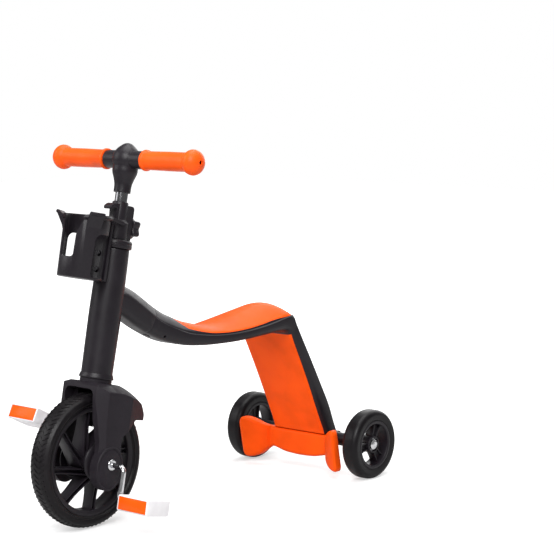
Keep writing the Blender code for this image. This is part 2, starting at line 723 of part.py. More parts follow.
def build_fork(steering):
    """Fork crown, blades and mudguard tail, as the solid that three outlines share."""
    tail = []
    for step in range(6):
        share = step / 5
        angle = math.radians(79.0 - 40.0 * share)
        radius = TAIL_START_RADIUS + (TAIL_END_RADIUS - TAIL_START_RADIUS) * share
        tail.append((FORK_OFFSET + radius * math.cos(angle), radius * math.sin(angle)))
    crown_top = COLUMN_BOTTOM - GAP
    side = [(-PLAN_FRONT, SHOULDER_HEIGHT + SHOULDER_CORNER, 0), (-FORK_TOP_RADIUS, SHOULDER_TOP, 0)]
    side += [(CROWN_BACK, SHOULDER_TOP, 0)]
    side += [(back, up, 0) for back, up in tail]
    side += [
        (TAIL_REACH - 0.0040, TAIL_BOTTOM, 0),
        (BLADE_HALF_DEPTH + TAIL_UNDERCUT, TAIL_BOTTOM - 0.0005, 0.0080),
        (BLADE_HALF_DEPTH, 0.0400, 0.0100),
        (BLADE_HALF_DEPTH, PAD_CENTRE, 0),
        (-BLADE_HALF_DEPTH, PAD_CENTRE, 0),
        (*BLADE_FRONT_LOW, 0),
        (*BLADE_FRONT_MIDDLE, 0),
        (*BLADE_FRONT_HIGH, 0),
    ]
    side = rounded(side)
    fork = prism("fork", side, -FORK_BLANK, FORK_BLANK, "X", parent=steering)
    half = [
        (BLADE_OUTER_LOW, BLADE_FOOT),
        (BLADE_OUTER_LOW, PAD_CENTRE),
        (SHOULDER_HALF_WIDTH + BLADE_WAIST_STEP, BLADE_WAIST),
        *arc((SHOULDER_HALF_WIDTH - SHOULDER_CORNER, SHOULDER_HEIGHT - 0.004), SHOULDER_CORNER, 0, 65, 3),
        (CROWN_SLOPE_START, crown_top - CROWN_SLOPE_DROP),
        (FORK_TOP_RADIUS, crown_top + 0.004),
    ]
    front = half + [(-x, z) for x, z in reversed(half)]
    front_shape = prism("fork_front_outline", front, -FORK_BLANK, FORK_BLANK * 2, "Y", parent=steering)
    plan = rounded(
        [
            (-PLAN_HALF_WIDTH, -PLAN_SIDE, PLAN_SIDE_CORNER),
            (-PLAN_FRONT_HALF_WIDTH, -PLAN_FRONT, PLAN_FRONT_CORNER),
            (PLAN_FRONT_HALF_WIDTH, -PLAN_FRONT, PLAN_FRONT_CORNER),
            (PLAN_HALF_WIDTH, -PLAN_SIDE, PLAN_SIDE_CORNER),
            (PLAN_HALF_WIDTH, PLAN_BACK, PLAN_BACK_CORNER),
            (TAIL_HALF_WIDTH, TAIL_REACH, PLAN_TAIL_CORNER),
            (-TAIL_HALF_WIDTH, TAIL_REACH, PLAN_TAIL_CORNER),
            (-PLAN_HALF_WIDTH, PLAN_BACK, PLAN_BACK_CORNER),
        ]
    )
    plan_shape = prism("fork_plan_outline", plan, -FORK_BLANK, crown_top + 0.02, "Z", parent=steering)
    combine(fork, front_shape, "INTERSECT")
    combine(fork, plan_shape, "INTERSECT")
    low_radius, wide = DOME_OUTER
    high_radius, narrow = DOME_INNER
    along_x = (0, math.pi / 2, 0)
    for name, sign in (("left", 1), ("right", -1)):
        cone = [(high_radius, sign * narrow), (high_radius + 0.03, sign * narrow), (high_radius + 0.03, sign * wide), (low_radius, sign * wide)]
        dome = turned("tail_dome_" + name, cone, parent=steering, location=(0, FORK_OFFSET, 0), turn=along_x)
        behind = slab("tail_dome_back_" + name, (-0.08, 0.08), (0, 0.15), (0, 0.20), parent=steering)
        combine(dome, behind, "INTERSECT")
        cut(fork, dome)
        pad = sorted((sign * BLADE_INNER_LOW, sign * BLADE_OUTER_LOW))
        join(fork, prism("fork_pad_" + name, pad_outline(), pad[0], pad[1], "X", parent=steering))
    join(fork, rod("fork_crown_top", FORK_TOP_RADIUS, SHOULDER_HEIGHT, crown_top, "Z", parent=steering, steps=ROUND_STEPS))
    well_radius = FRONT_TYRE_RADIUS + TYRE_CLEARANCE
    centre = (0, FORK_OFFSET, 0)
    well = rod("wheel_well", well_radius, -BLADE_INNER_TOP, BLADE_INNER_TOP, "X", parent=steering, location=centre, steps=ROUND_STEPS)
    gap_half = [
        (BLADE_INNER_LOW, -FORK_BLANK),
        (BLADE_INNER_LOW, BUSH_FLANGE_RADIUS + 0.002),
        (BLADE_INNER_WAIST, BLADE_WAIST),
        (BLADE_INNER_TOP, BLADE_GAP_TOP),
    ]
    gap_outline = gap_half + [(-x, z) for x, z in reversed(gap_half)]
    slot = prism("blade_gap", gap_outline, -FORK_BLANK, BLADE_HALF_DEPTH + 0.010, "Y", parent=steering)
    hollow_radius = well_radius - TAIL_HOLLOW_STEP
    hollow = rod(
        "tail_hollow", hollow_radius, -TAIL_HOLLOW, TAIL_HOLLOW, "X", parent=steering, location=centre, steps=ROUND_STEPS
    )
    bore = rod("fork_axle_bore", BUSH_RADIUS + GAP, -0.080, 0.080, "X", parent=steering, location=centre, steps=TUBE_STEPS)
    socket_low = crown_top - STEERER_SOCKET_DEPTH - GAP
    socket = rod("steerer_socket", STEERER_RADIUS + GAP, socket_low, crown_top + 0.02, "Z", parent=steering, steps=TUBE_STEPS)
    hood = rounded(
        [
            (-HOOD_HALF_WIDTH, BLADE_WAIST, 0),
            (HOOD_HALF_WIDTH, BLADE_WAIST, 0),
            (HOOD_HALF_WIDTH, HOOD_TOP, HOOD_CORNER),
            (-HOOD_HALF_WIDTH, HOOD_TOP, HOOD_CORNER),
        ]
    )
    hood_space = prism("hood_space", hood, -FORK_BLANK, -HOOD_BACK, "Y", parent=steering)
    cut(fork, well, hollow, slot, hood_space, bore, socket)


def build_front_wheel(steering):
    """Tyre, spoked rim, hub caps, bushes, washers, cranks and pedals."""
    axle = add_frame("front_axle", (0, 0, FRONT_TYRE_RADIUS))
    wheel = add_frame("front_wheel_axis", (0, 0, 0), (0, math.pi / 2, 0), axle)
    rim_radius = FRONT_TYRE_RADIUS - FRONT_TYRE_HEIGHT
    build_tyre("front_tyre", wheel, FRONT_TYRE_RADIUS, rim_radius + GAP, FRONT_TYRE_WIDTH, FRONT_RIM_WIDTH, ROUND_STEPS)
    half = FRONT_RIM_WIDTH / 2
    inner = rim_radius - FRONT_RIM_WALL
    rim = turned(
        "front_rim",
        [
            (inner, -half * 0.55),
            (inner + 0.002, -half),
            (rim_radius, -half),
            (rim_radius, half),
            (inner + 0.002, half),
            (inner, half * 0.55),
        ],
        parent=wheel,
    )
    spokes = spoke_bars(
        "front_spokes",
        wheel,
        FRONT_SPOKES,
        FRONT_SPOKE_ANGLE,
        (FRONT_HUB_RADIUS - 0.004, FRONT_SPOKE_WIDTH * 1.25, FRONT_SPOKE_DEPTH * 1.5),
        (rim_radius - FRONT_RIM_WALL / 2, FRONT_SPOKE_WIDTH, FRONT_SPOKE_DEPTH),
    )
    hub = rod("front_hub", FRONT_HUB_RADIUS, -FRONT_HUB_LENGTH / 2, FRONT_HUB_LENGTH / 2, parent=wheel, steps=TUBE_STEPS)
    join(rim, spokes, hub)
    cut(rim, rod("front_hub_bore", CRANK_ROD_RADIUS + GAP, -0.05, 0.05, parent=wheel, steps=SMALL_STEPS))
    cap_low = FRONT_HUB_LENGTH / 2 + GAP
    bore = CRANK_ROD_RADIUS + GAP
    cap = [
        (bore, cap_low),
        (HUB_CAP_RADIUS, cap_low),
        (HUB_CAP_RADIUS, cap_low + 0.002),
        (HUB_CAP_RADIUS - 0.006, cap_low + HUB_CAP_DEPTH),
        (bore, cap_low + HUB_CAP_DEPTH),
    ]
    bush_in = BLADE_INNER_LOW - 0.0018
    bush_out = BLADE_OUTER_LOW
    bush = [
        (bore + RUNNING_GAP - GAP, bush_in),
        (BUSH_FLANGE_RADIUS, bush_in),
        (BUSH_FLANGE_RADIUS, BLADE_INNER_LOW - GAP),
        (BUSH_RADIUS, BLADE_INNER_LOW - GAP),
        (BUSH_RADIUS, bush_out),
        (bore + RUNNING_GAP - GAP, bush_out),
    ]
    washer_low = bush_out + GAP
    washer = [
        (bore, washer_low),
        (WASHER_RADIUS, washer_low),
        (WASHER_RADIUS, washer_low + WASHER_THICKNESS * 0.6),
        (WASHER_RADIUS - 0.001, washer_low + WASHER_THICKNESS),
        (bore, washer_low + WASHER_THICKNESS),
    ]
    for side, angle in (("left", 0), ("right", math.pi)):
        face = add_frame("front_axle_" + side, (0, 0, 0), (0, math.pi / 2 + angle, 0), axle)
        turned("hub_cap_" + side, cap, parent=face, steps=TUBE_STEPS)
        turned("axle_bush_" + side, bush, "white", face, steps=SMALL_STEPS)
        turned("crank_washer_" + side, washer, "chrome", face, steps=SMALL_STEPS)
    build_cranks(axle)


def build_tyre(name, wheel, radius, seat, width, rim_width, steps):
    """A solid tyre with a rounded tread on its seat."""
    half = width / 2
    seat_half = rim_width / 2
    profile = [
        (seat, -seat_half),
        (seat + 0.0015, -seat_half),
        (radius - 0.0110, -half),
        (radius - 0.0055, -half + 0.0012),
        (radius - 0.0018, -half * 0.66),
        (radius, -half * 0.28),
    ]
    profile += [(r, -h) for r, h in reversed(profile)]
    turned(name, profile, "tyre", wheel, steps=steps)


def spoke_bars(name, wheel, count, first_angle, inner, outer):
    """Tapered bars between two (radius, width, depth) sections, evenly round the axle."""
    bm = bmesh.new()
    for index in range(count):
        angle = math.radians(first_angle) + math.tau * index / count
        along = Vector((math.cos(angle), math.sin(angle), 0))
        side = Vector((-along.y, along.x, 0))
        loops = []
        for radius, width, depth in (inner, outer):
            loop = []
            for u, v in ((-0.5, -0.3), (-0.5, 0.3), (-0.2, 0.5), (0.2, 0.5), (0.5, 0.3), (0.5, -0.3), (0.2, -0.5), (-0.2, -0.5)):
                loop.append(bm.verts.new(along * radius + side * (u * width) + Vector((0, 0, v * depth))))
            loops.append(loop)
        for step in range(8):
            after = (step + 1) % 8
            bm.faces.new((loops[0][step], loops[0][after], loops[1][after], loops[1][step]))
        bm.faces.new(loops[0])
        bm.faces.new(loops[1])
    return add_piece(name, bm, "charcoal", wheel)


def crank_path():
    """The bent rod from the hub out to its plane, along the arm and out through the pedal."""
    bend = CRANK_BEND_RADIUS
    end = PEDAL_START + PEDAL_LENGTH - PEDAL_END_WALL - GAP
    path = [(CRANK_PLUG_START, 0.0)]
    path += [(CRANK_PLANE - bend + bend * math.sin(a), bend - bend * math.cos(a)) for a in quarter_turn()]
    path += [
        (CRANK_PLANE + bend - bend * math.cos(a), CRANK_LENGTH - bend + bend * math.sin(a)) for a in quarter_turn()
    ]
    path.append((end, CRANK_LENGTH))
    return path


def quarter_turn(steps=4):
    return [math.pi / 2 * step / steps for step in range(steps + 1)]


def build_cranks(axle):
    """Bent crank rods with a pedal on each."""
    down = math.radians(CRANK_ANGLE - 90)
    shapes = {
        "left": ((down, 0, 0), -1, PEDAL_NEAR_TILT),
        "right": ((-down, 0, math.pi), 1, PEDAL_FAR_TILT),
    }
    for side, (turn, sign, tilt) in shapes.items():
        lofted("crank_" + side, swept_rod(crank_path(), CRANK_ROD_RADIUS, 10), "chrome", axle, turn=turn)
        arm = math.radians(CRANK_ANGLE)
        place = (0, -sign * CRANK_LENGTH * math.sin(arm), sign * CRANK_LENGTH * math.cos(arm))
        flip = 0 if side == "left" else math.pi
        holder = add_frame("pedal_axis_" + side, place, (math.radians(-tilt), 0, 0), axle)
        pedal_frame = add_frame("pedal_side_" + side, (0, 0, 0), (0, 0, flip), holder)
        build_pedal(side, pedal_frame)


def build_pedal(side, pedal_frame):
    """White pedal block with a reflector let into its front and its back."""
    half_width = PEDAL_WIDTH / 2
    half_height = PEDAL_THICKNESS / 2
    outline = rounded(
        [
            (-half_width, -half_height, 0.003),
            (half_width, -half_height, 0.003),
            (half_width, half_height, 0.003),
            (-half_width, half_height, 0.003),
        ],
        2,
    )
    end = PEDAL_START + PEDAL_LENGTH
    block = prism("pedal_" + side, outline, PEDAL_START, end, "X", "white", pedal_frame)
    bore = rod(
        "pedal_bore_" + side, CRANK_ROD_RADIUS + RUNNING_GAP, PEDAL_START - 0.01, end - PEDAL_END_WALL, "X",
        parent=pedal_frame, steps=SMALL_STEPS,
    )
    cut(block, bore)
    for place, sign in (("front", -1), ("rear", 1)):
        pocket = slab(
            "pedal_pocket_" + side + "_" + place,
            (PEDAL_START + REFLECTOR_MARGIN, end - REFLECTOR_MARGIN),
            (sign * (half_width - REFLECTOR_DEPTH), sign * (half_width + 0.005)),
            (-half_height + REFLECTOR_MARGIN, half_height - REFLECTOR_MARGIN),
            "white",
            pedal_frame,
        )
        cut(block, pocket)
        margin = REFLECTOR_MARGIN + GAP
        slab(
            "reflector_" + side + "_" + place,
            (PEDAL_START + margin, end - margin),
            (sign * (half_width - REFLECTOR_DEPTH + GAP), sign * (half_width - 0.0004)),
            (-half_height + margin, half_height - margin),
            "reflector",
            pedal_frame,
        )


def slab(name, x_span, y_span, z_span, kind="charcoal", parent=None):
    """A box between two corners."""
    low, high = sorted(y_span)
    outline = [(x_span[0], low), (x_span[1], low), (x_span[1], high), (x_span[0], high)]
    return prism(name, outline, z_span[0], z_span[1], "Z", kind, parent)


def frame_half_width(y):
    """Half the width of the neck and seat at that distance back."""
    return NECK_HALF_WIDTH + (SEAT_HALF_WIDTH - NECK_HALF_WIDTH) * smooth_step(y, 0.13, 0.33)


def crown_height(y):
    """How far the middle of the seat stands over its edges."""
    return 0.003 + 0.005 * smooth_step(y, 0.075, 0.12) + 0.0095 * smooth_step(y, 0.21, 0.34)


def frame_stations():
    """Outer point, inner point (both as (y, z)), half width and crown along neck, seat and leg."""
    stations = [((y, top), (y, low), frame_half_width(y), crown_height(y)) for y, top, low in SEAT_EDGES]
    width = SEAT_HALF_WIDTH
    for outer, inner in SEAT_CORNER:
        stations.append((outer[:2], inner, width, outer[2]))
    for outer, inner in LEG_EDGES:
        stations.append((outer, inner, width + 0.001, 0.003))
    return stations


def frame_rings(stations):
    """Cross-sections with rounded corners and a crowned outer side, one for each station."""
    rings = []
    for outer, inner, half, crown in stations:
        outer = Vector(outer)
        inner = Vector(inner)
        thick = (outer - inner).length
        up = (outer - inner) / thick
        corner = min(FRAME_CORNER, thick * 0.3)
        lower = min(corner * 1.6, half * 0.6)
        section = []
        for step in range(9):
            share = -1 + 2 * step / 8
            section.append((share * (half - corner), thick + crown * (1 - share * share)))
        section += [(half - corner * 0.3, thick - corner * 0.3), (half, thick - corner)]
        section += [(half, lower), (half - lower * 0.3, lower * 0.3), (half - lower, 0)]
        section += [(-half + lower, 0), (-half + lower * 0.3, lower * 0.3), (-half, lower)]
        section += [(-half, thick - corner), (-half + corner * 0.3, thick - corner * 0.3)]
        ring = []
        for x, height in section:
            point = inner + up * height
            ring.append((x, point.x, point.y))
        rings.append(ring)
    return rings


def build_neck(column, steering, flip):
    """Moulds the front half of the neck onto the column and fits the spigot that the frame turns on."""
    stub = lofted("neck_stub", frame_rings(frame_stations()[:9]))
    combine(stub, rod("neck_front_half", 0.1, -0.2, NECK_SEAM - GAP / 2, parent=flip, steps=12), "INTERSECT")
    join(column, stub)
    cut(
        column,
        rod("column_bore", COLUMN_BORE_RADIUS, COLUMN_BOTTOM - 0.01, COLUMN_TOP + 0.01, parent=steering, steps=TUBE_STEPS),
        rod("neck_spigot_hole", SPIGOT_RADIUS + GAP, SPIGOT_START - GAP, 0.1, parent=flip, steps=TUBE_STEPS),
    )
    head = SPIGOT_END + SPIGOT_HEAD_LENGTH
    profile = [(0, SPIGOT_START), (SPIGOT_RADIUS, SPIGOT_START), (SPIGOT_RADIUS, SPIGOT_END)]
    profile += [(SPIGOT_HEAD_RADIUS, SPIGOT_END), (SPIGOT_HEAD_RADIUS, head), (0, head)]
    turned("flip_spigot", profile, "steel", flip, steps=TUBE_STEPS)


def build_frame(flip):
    """Black shell of neck, seat and leg, with the orange seat and leg panels let into it."""
    shell = lofted("frame_shell", frame_rings(frame_stations()[3:]))
    behind = rod("neck_rear_half", 0.3, NECK_SEAM + GAP / 2, 0.9, parent=flip, steps=12)
    combine(shell, behind, "INTERSECT")
    hole = SPIGOT_HEAD_RADIUS + RUNNING_GAP
    head_room = SPIGOT_END + SPIGOT_HEAD_LENGTH + RUNNING_GAP
    cut(
        shell,
        rod("shell_spigot_hole", SPIGOT_RADIUS + GAP, 0, SPIGOT_END, parent=flip, steps=TUBE_STEPS),
        rod("shell_spigot_head_room", hole, SPIGOT_END - GAP, head_room, parent=flip, steps=TUBE_STEPS),
    )
    cut(shell, panel_region("seat_recess", 0, SEAT_HALF_WIDTH + 0.02))
    seat = lofted("seat_panel", frame_rings(frame_stations()[3:]), "orange")
    combine(seat, panel_region("seat_panel_region", GAP, SEAT_HALF_WIDTH + 0.02), "INTERSECT")
    cut(shell, leg_region("leg_recess", 0, 0))
    panel = lofted("leg_panel", frame_rings(frame_stations()[3:]), "orange")
    combine(panel, leg_region("leg_panel_region", GAP, GAP), "INTERSECT")
    build_lock(flip)


def build_lock(flip):
    """Pull pin under the neck that drops into the spigot and holds the frame in either position."""
    shell = bpy.data.objects["frame_shell"]
    spigot = bpy.data.objects["flip_spigot"]
    tip = SPIGOT_RADIUS - LOCK_PIN_DEPTH
    place = (0, 0, LOCK_PLACE)
    profile = [
        (0, tip),
        (LOCK_PIN_RADIUS, tip),
        (LOCK_PIN_RADIUS, LOCK_KNOB_SEAT),
        (LOCK_KNOB_RADIUS, LOCK_KNOB_SEAT),
        (LOCK_KNOB_RADIUS, LOCK_KNOB_END - 0.001),
        (LOCK_KNOB_RADIUS - 0.001, LOCK_KNOB_END),
        (0, LOCK_KNOB_END),
    ]
    turned("lock_pin", profile, "charcoal", flip, place, LOCK_TURN, SMALL_STEPS)
    bore = turned_bore("lock_pin_hole", LOCK_PIN_RADIUS + RUNNING_GAP, tip - GAP, LOCK_KNOB_SEAT, flip, place)
    pocket = turned_bore("lock_knob_pocket", LOCK_KNOB_RADIUS + RUNNING_GAP, LOCK_KNOB_SEAT - GAP, 0.05, flip, place)
    cut(shell, bore, pocket)
    half = LOCK_PIN_RADIUS + RUNNING_GAP
    inner = tip - GAP
    outer = SPIGOT_RADIUS + 0.002
    ring = [(inner, -half), (outer, -half), (outer, half), (inner, half)]
    groove = turned("lock_groove", ring, parent=flip, location=place, steps=TUBE_STEPS)
    side = slab("lock_groove_side", (-0.02, half + GAP), (-0.02, 0.02), (-0.01, 0.01), parent=groove)
    combine(groove, side, "INTERSECT")
    cut(spigot, groove)


def turned_bore(name, radius, low, high, parent, place):
    """A cutter for a round hole along the lock pin."""
    profile = [(0, low), (radius, low), (radius, high), (0, high)]
    return turned(name, profile, parent=parent, location=place, turn=LOCK_TURN, steps=SMALL_STEPS)


def panel_region(name, lift, half):
    """The space above the seat's parting line, which rises to a point on the neck."""
    line = []
    for y, top, low in SEAT_EDGES:
        if y >= SEAT_PANEL_START:
            line.append((y, top - SEAT_PANEL_EDGE * smooth_step(y, SEAT_PANEL_START - 0.02, 0.24) + lift))
    corner = SEAT_CORNER[1][0]
    line.append((corner[0] - 0.004, corner[1] - SEAT_PANEL_EDGE + lift))
    line.append((corner[0] + 0.012, corner[1] - SEAT_PANEL_EDGE * 0.8 + lift))
    first = SEAT_PANEL_START - 0.018
    outline = [(first, 0.42), (first, line[0][1] + 0.018), *line, (line[-1][0], 0.42)]
    return prism(name, outline, -half, half, "X")


def leg_region(name, inset, back):
    """The space in front of the leg that its panel fills, narrower than the leg by a rail on each side."""
    (top_outer, top), (low_outer, low) = LEG_EDGES[0], LEG_EDGES[-1]
    top = Vector(top)
    low = Vector(low)
    along = (low - top).normalized()
    inward = Vector((-along.y, along.x))
    if inward.x < 0:
        inward = -inward
    start = top - along * 0.020
    stop = low + along * 0.030
    depth = LEG_PANEL_DEPTH - back
    corners = [start - inward * 0.03, start + inward * depth, stop + inward * depth, stop - inward * 0.03]
    half = SEAT_HALF_WIDTH - LEG_RAIL - inset
    return prism(name, [tuple(point) for point in corners], -half, half, "X")


def build_rear_axle(rear):
    """Axle, the beam that carries it under the leg, the cover in front of the beam, and the end nuts."""
    beam = prism(
        "rear_axle_beam",
        rounded(
            [
                (BEAM_FRONT, BEAM_BOTTOM, 0.004),
                (BEAM_BACK, BEAM_BOTTOM, 0.006),
                (BEAM_BACK, BEAM_TOP, 0.003),
                (BEAM_FRONT, BEAM_TOP, 0.002),
            ],
            3,
        ),
        -BEAM_HALF_LENGTH,
        BEAM_HALF_LENGTH,
        "X",
        parent=rear,
    )
    boss = rod("beam_bosses", BOSS_RADIUS, -BOSS_END, BOSS_END, "X", parent=rear, steps=TUBE_STEPS)
    join(beam, boss)
    cut(beam, rod("beam_bore", REAR_AXLE_RADIUS + GAP, -0.2, 0.2, "X", parent=rear, steps=SMALL_STEPS))
    rod("rear_axle", REAR_AXLE_RADIUS, -AXLE_END, AXLE_END, "X", "steel", rear, steps=SMALL_STEPS)
    rings = []
    for x, front, back, low, high, lean in COVER_STATIONS:
        rings.append(cover_ring(x, front, back, low, high, lean))
    mirrored = [[(-x, y, z) for x, y, z in ring] for ring in reversed(rings[1:])]
    lofted("rear_cover", mirrored + rings, "orange")


def cover_ring(x, front, back, low, high, lean):
    """One closed section of the rear cover: a rounded oblong at x, whose bottom leans back."""
    radius = min(0.006, (high - low) * 0.3, (back - front) * 0.45)
    outline = rounded(
        [(front, low, radius), (back, low, radius * 0.5), (back, high, radius * 0.5), (front, high, radius)], 3
    )
    return [(x, y + lean * (high - z) / (high - low), z) for y, z in outline]


def build_rear_wheels(rear):
    """Tyre, three-spoked rim, bearing and nut on each end of the axle."""
    rim_radius = REAR_TYRE_RADIUS - REAR_TYRE_HEIGHT
    half = REAR_TYRE_WIDTH / 2 - 0.0015
    inner = rim_radius - REAR_RIM_WALL
    for side, sign, first in (("left", 1, REAR_LEFT_SPOKE_ANGLE), ("right", -1, REAR_RIGHT_SPOKE_ANGLE)):
        wheel = add_frame("rear_wheel_axis_" + side, (sign * REAR_WHEEL_PLANE, 0, 0), (0, sign * math.pi / 2, 0), rear)
        profile = [(rim_radius + GAP, -half)]
        quarter = [
            (REAR_TYRE_RADIUS - 0.0060, -REAR_TYRE_WIDTH / 2),
            (REAR_TYRE_RADIUS - 0.0020, -REAR_TYRE_WIDTH / 2 + 0.0030),
            (REAR_TYRE_RADIUS, -REAR_TYRE_WIDTH / 2 + 0.0090),
        ]
        profile += quarter + [(r, -h) for r, h in reversed(quarter)] + [(rim_radius + GAP, half)]
        turned("rear_tyre_" + side, profile, "tyre", wheel, steps=REAR_STEPS)
        rim = turned(
            "rear_rim_" + side,
            [(inner, -half), (rim_radius, -half), (rim_radius, half), (inner, half)],
            "charcoal",
            wheel,
            steps=REAR_STEPS,
        )
        spokes = spoke_bars(
            "rear_spokes_" + side,
            wheel,
            REAR_SPOKES,
            first,
            (REAR_HUB_RADIUS - 0.005, REAR_SPOKE_WIDTH, REAR_SPOKE_DEPTH),
            (rim_radius - REAR_RIM_WALL / 2, REAR_SPOKE_WIDTH * 1.5, REAR_SPOKE_DEPTH),
        )
        hub = rod("rear_hub_" + side, REAR_HUB_RADIUS, -half * 0.8, half * 0.8, parent=wheel, steps=TUBE_STEPS)
        join(rim, spokes, hub)
        cut(rim, rod("rear_hub_bore_" + side, REAR_BEARING_RADIUS + GAP, -0.05, 0.05, parent=wheel, steps=TUBE_STEPS))
        bore = REAR_AXLE_RADIUS + GAP
        bearing = [
            (bore, -REAR_BEARING_HALF),
            (REAR_BEARING_RADIUS, -REAR_BEARING_HALF),
            (REAR_BEARING_RADIUS, REAR_BEARING_HALF),
            (bore, REAR_BEARING_HALF),
        ]
        turned("rear_bearing_" + side, bearing, "steel", wheel, steps=TUBE_STEPS)
        nut_low = REAR_BEARING_HALF + GAP
        nut_high = nut_low + AXLE_NUT_LENGTH
        nut = [
            (0, nut_high),
            (AXLE_NUT_RADIUS * 0.6, nut_high),
            (AXLE_NUT_RADIUS, nut_high - 0.002),
            (AXLE_NUT_RADIUS, nut_low),
            (bore, nut_low),
            (bore, AXLE_END - REAR_WHEEL_PLANE + GAP),
            (0, AXLE_END - REAR_WHEEL_PLANE + GAP),
        ]
        turned("axle_nut_" + side, nut, "chrome", wheel, steps=TUBE_STEPS)
        spacer = [
            (bore, BOSS_END + GAP - REAR_WHEEL_PLANE),
            (REAR_AXLE_RADIUS + 0.003, BOSS_END + GAP - REAR_WHEEL_PLANE),
            (REAR_AXLE_RADIUS + 0.003, -REAR_BEARING_HALF - GAP),
            (bore, -REAR_BEARING_HALF - GAP),
        ]
        turned("rear_spacer_" + side, spacer, "steel", wheel, steps=SMALL_STEPS)


def build_cup_holder(steering):
    """Cup with two tall arched windows, its back plate on the column, and the screws that hold it."""
    cup_place = (0, CUP_CENTRE, 0)
    inner = CUP_RADIUS - CUP_WALL
    rim_low = CUP_TOP + CUP_RIM_LIFT - CUP_RIM_HEIGHT
    cup = turned(
        "cup_holder",
        [
            (0, CUP_BOTTOM),
            (CUP_RADIUS - 0.003, CUP_BOTTOM),
            (CUP_RADIUS - 0.001, CUP_BOTTOM + 0.002),
            (CUP_RADIUS, rim_low),
            (CUP_RADIUS + CUP_RIM_STEP, rim_low + 0.001),
            (CUP_RADIUS + CUP_RIM_STEP, CUP_TOP + CUP_RIM_LIFT),
            (inner, CUP_TOP + CUP_RIM_LIFT),
            (inner - 0.001, CUP_BOTTOM + CUP_WALL),
            (0, CUP_BOTTOM + CUP_WALL),
        ],
        parent=steering,
        location=cup_place,
        steps=COLUMN_STEPS,
    )
    window = [
        (CUP_WINDOW_HALF_LOW, CUP_WINDOW_BOTTOM, 0.005),
        (CUP_WINDOW_HALF_LOW + 0.0010, CUP_WINDOW_BOTTOM + 0.034, 0.020),
        (CUP_WINDOW_HALF_TOP, rim_low + 0.004, 0.006),
        (CUP_WINDOW_HALF_TOP, CUP_TOP + 0.03, 0),
    ]
    window += [(-x, z, radius) for x, z, radius in reversed(window)]
    front_window = prism("cup_front_window", rounded(window), -0.050, -0.012, "Y", parent=steering, location=cup_place)
    sides = rounded(
        [
            (CUP_SIDE_FRONT, CUP_BOTTOM + CUP_WALL + 0.0010, 0),
            (CUP_SIDE_BACK, CUP_BOTTOM + CUP_WALL + 0.0010, 0),
            (CUP_SIDE_BACK, CUP_SIDE_TOP, 0.004),
            (CUP_SIDE_FRONT, CUP_SIDE_TOP, 0.012),
        ]
    )
    side_windows = prism("cup_side_windows", sides, -0.050, 0.050, "X", parent=steering)
    cut(cup, front_window, side_windows)
    plate_back = -RING_RADIUS - RUNNING_GAP
    plate_front = plate_back - CUP_PLATE_THICKNESS
    half = CUP_PLATE_HALF_WIDTH
    plate = slab("cup_plate", (-half, half), (plate_front, plate_back), (CUP_BOTTOM + 0.001, CUP_TOP - 0.004), parent=steering)
    saddle = slab(
        "cup_saddle", (-0.014, 0.014), (plate_back - 0.001, -0.012), (CUP_BOTTOM + 0.006, COLUMN_TOP - 0.0015), parent=steering
    )
    join(cup, plate, saddle)
    arm_low = CUP_TOP - 0.0105
    for name, low, high in (("left", CUP_ARM_GAP, half + 0.0005), ("right", -half - 0.0005, -CUP_ARM_GAP)):
        outline = rounded(
            [(plate_back - 0.002, arm_low, 0), (CUP_ARM_END, arm_low, 0.004), (CUP_ARM_END, CUP_TOP, 0.004), (plate_back - 0.002, CUP_TOP, 0)]
        )
        join(cup, prism("cup_arm_" + name, outline, low, high, "X", parent=steering))
    for name, angle in (("left", CUP_LIP_ANGLE), ("right", -CUP_LIP_ANGLE)):
        lip = rounded(
            [
                (inner + 0.0005, -CUP_TOP + 0.020, 0),
                (CUP_RADIUS + 0.0005, -CUP_TOP + 0.014, 0.006),
                (CUP_RADIUS + CUP_LIP_REACH, -CUP_TOP - 0.0010, 0.0015),
                (CUP_RADIUS + CUP_LIP_REACH - 0.0025, -CUP_TOP - 0.0040, 0.0015),
                (inner + 0.0005, -CUP_TOP + 0.004, 0),
            ]
        )
        lip = [(-radius, -height) for radius, height in lip]
        turn = (0, 0, math.radians(angle))
        join(cup, prism("cup_lip_" + name, lip, -0.0050, 0.0050, "X", parent=steering, location=cup_place, turn=turn))
    column_skin = rod("column_outside", COLUMN_MIDDLE_RADIUS + GAP, 0.2, RING_TOP, parent=steering, steps=ROUND_STEPS)
    cut(cup, column_skin)
    for index, rise in enumerate(CUP_SCREW_RISES):
        place = (0, 0, CUP_BOTTOM + rise)
        tip = -COLUMN_BORE_RADIUS - 0.0015
        name = "cup_screw_" + str(index + 1)
        hole = rod(name + "_hole", SMALL_SCREW_RADIUS + GAP, -0.050, tip + GAP, "Y", parent=steering, location=place, steps=SMALL_STEPS)
        cut(cup, hole)
        cut(bpy.data.objects["column"], hole)
        head = plate_front - GAP
        screw = [
            (0, -head + SMALL_SCREW_HEAD),
            (SMALL_SCREW_HEAD_RADIUS * 0.7, -head + SMALL_SCREW_HEAD),
            (SMALL_SCREW_HEAD_RADIUS, -head + SMALL_SCREW_HEAD * 0.5),
            (SMALL_SCREW_HEAD_RADIUS, -head),
            (SMALL_SCREW_RADIUS, -head),
            (SMALL_SCREW_RADIUS, -tip),
            (0, -tip),
        ]
        turned(name, screw, "black_steel", steering, place, (math.pi / 2, 0, 0), SMALL_STEPS)


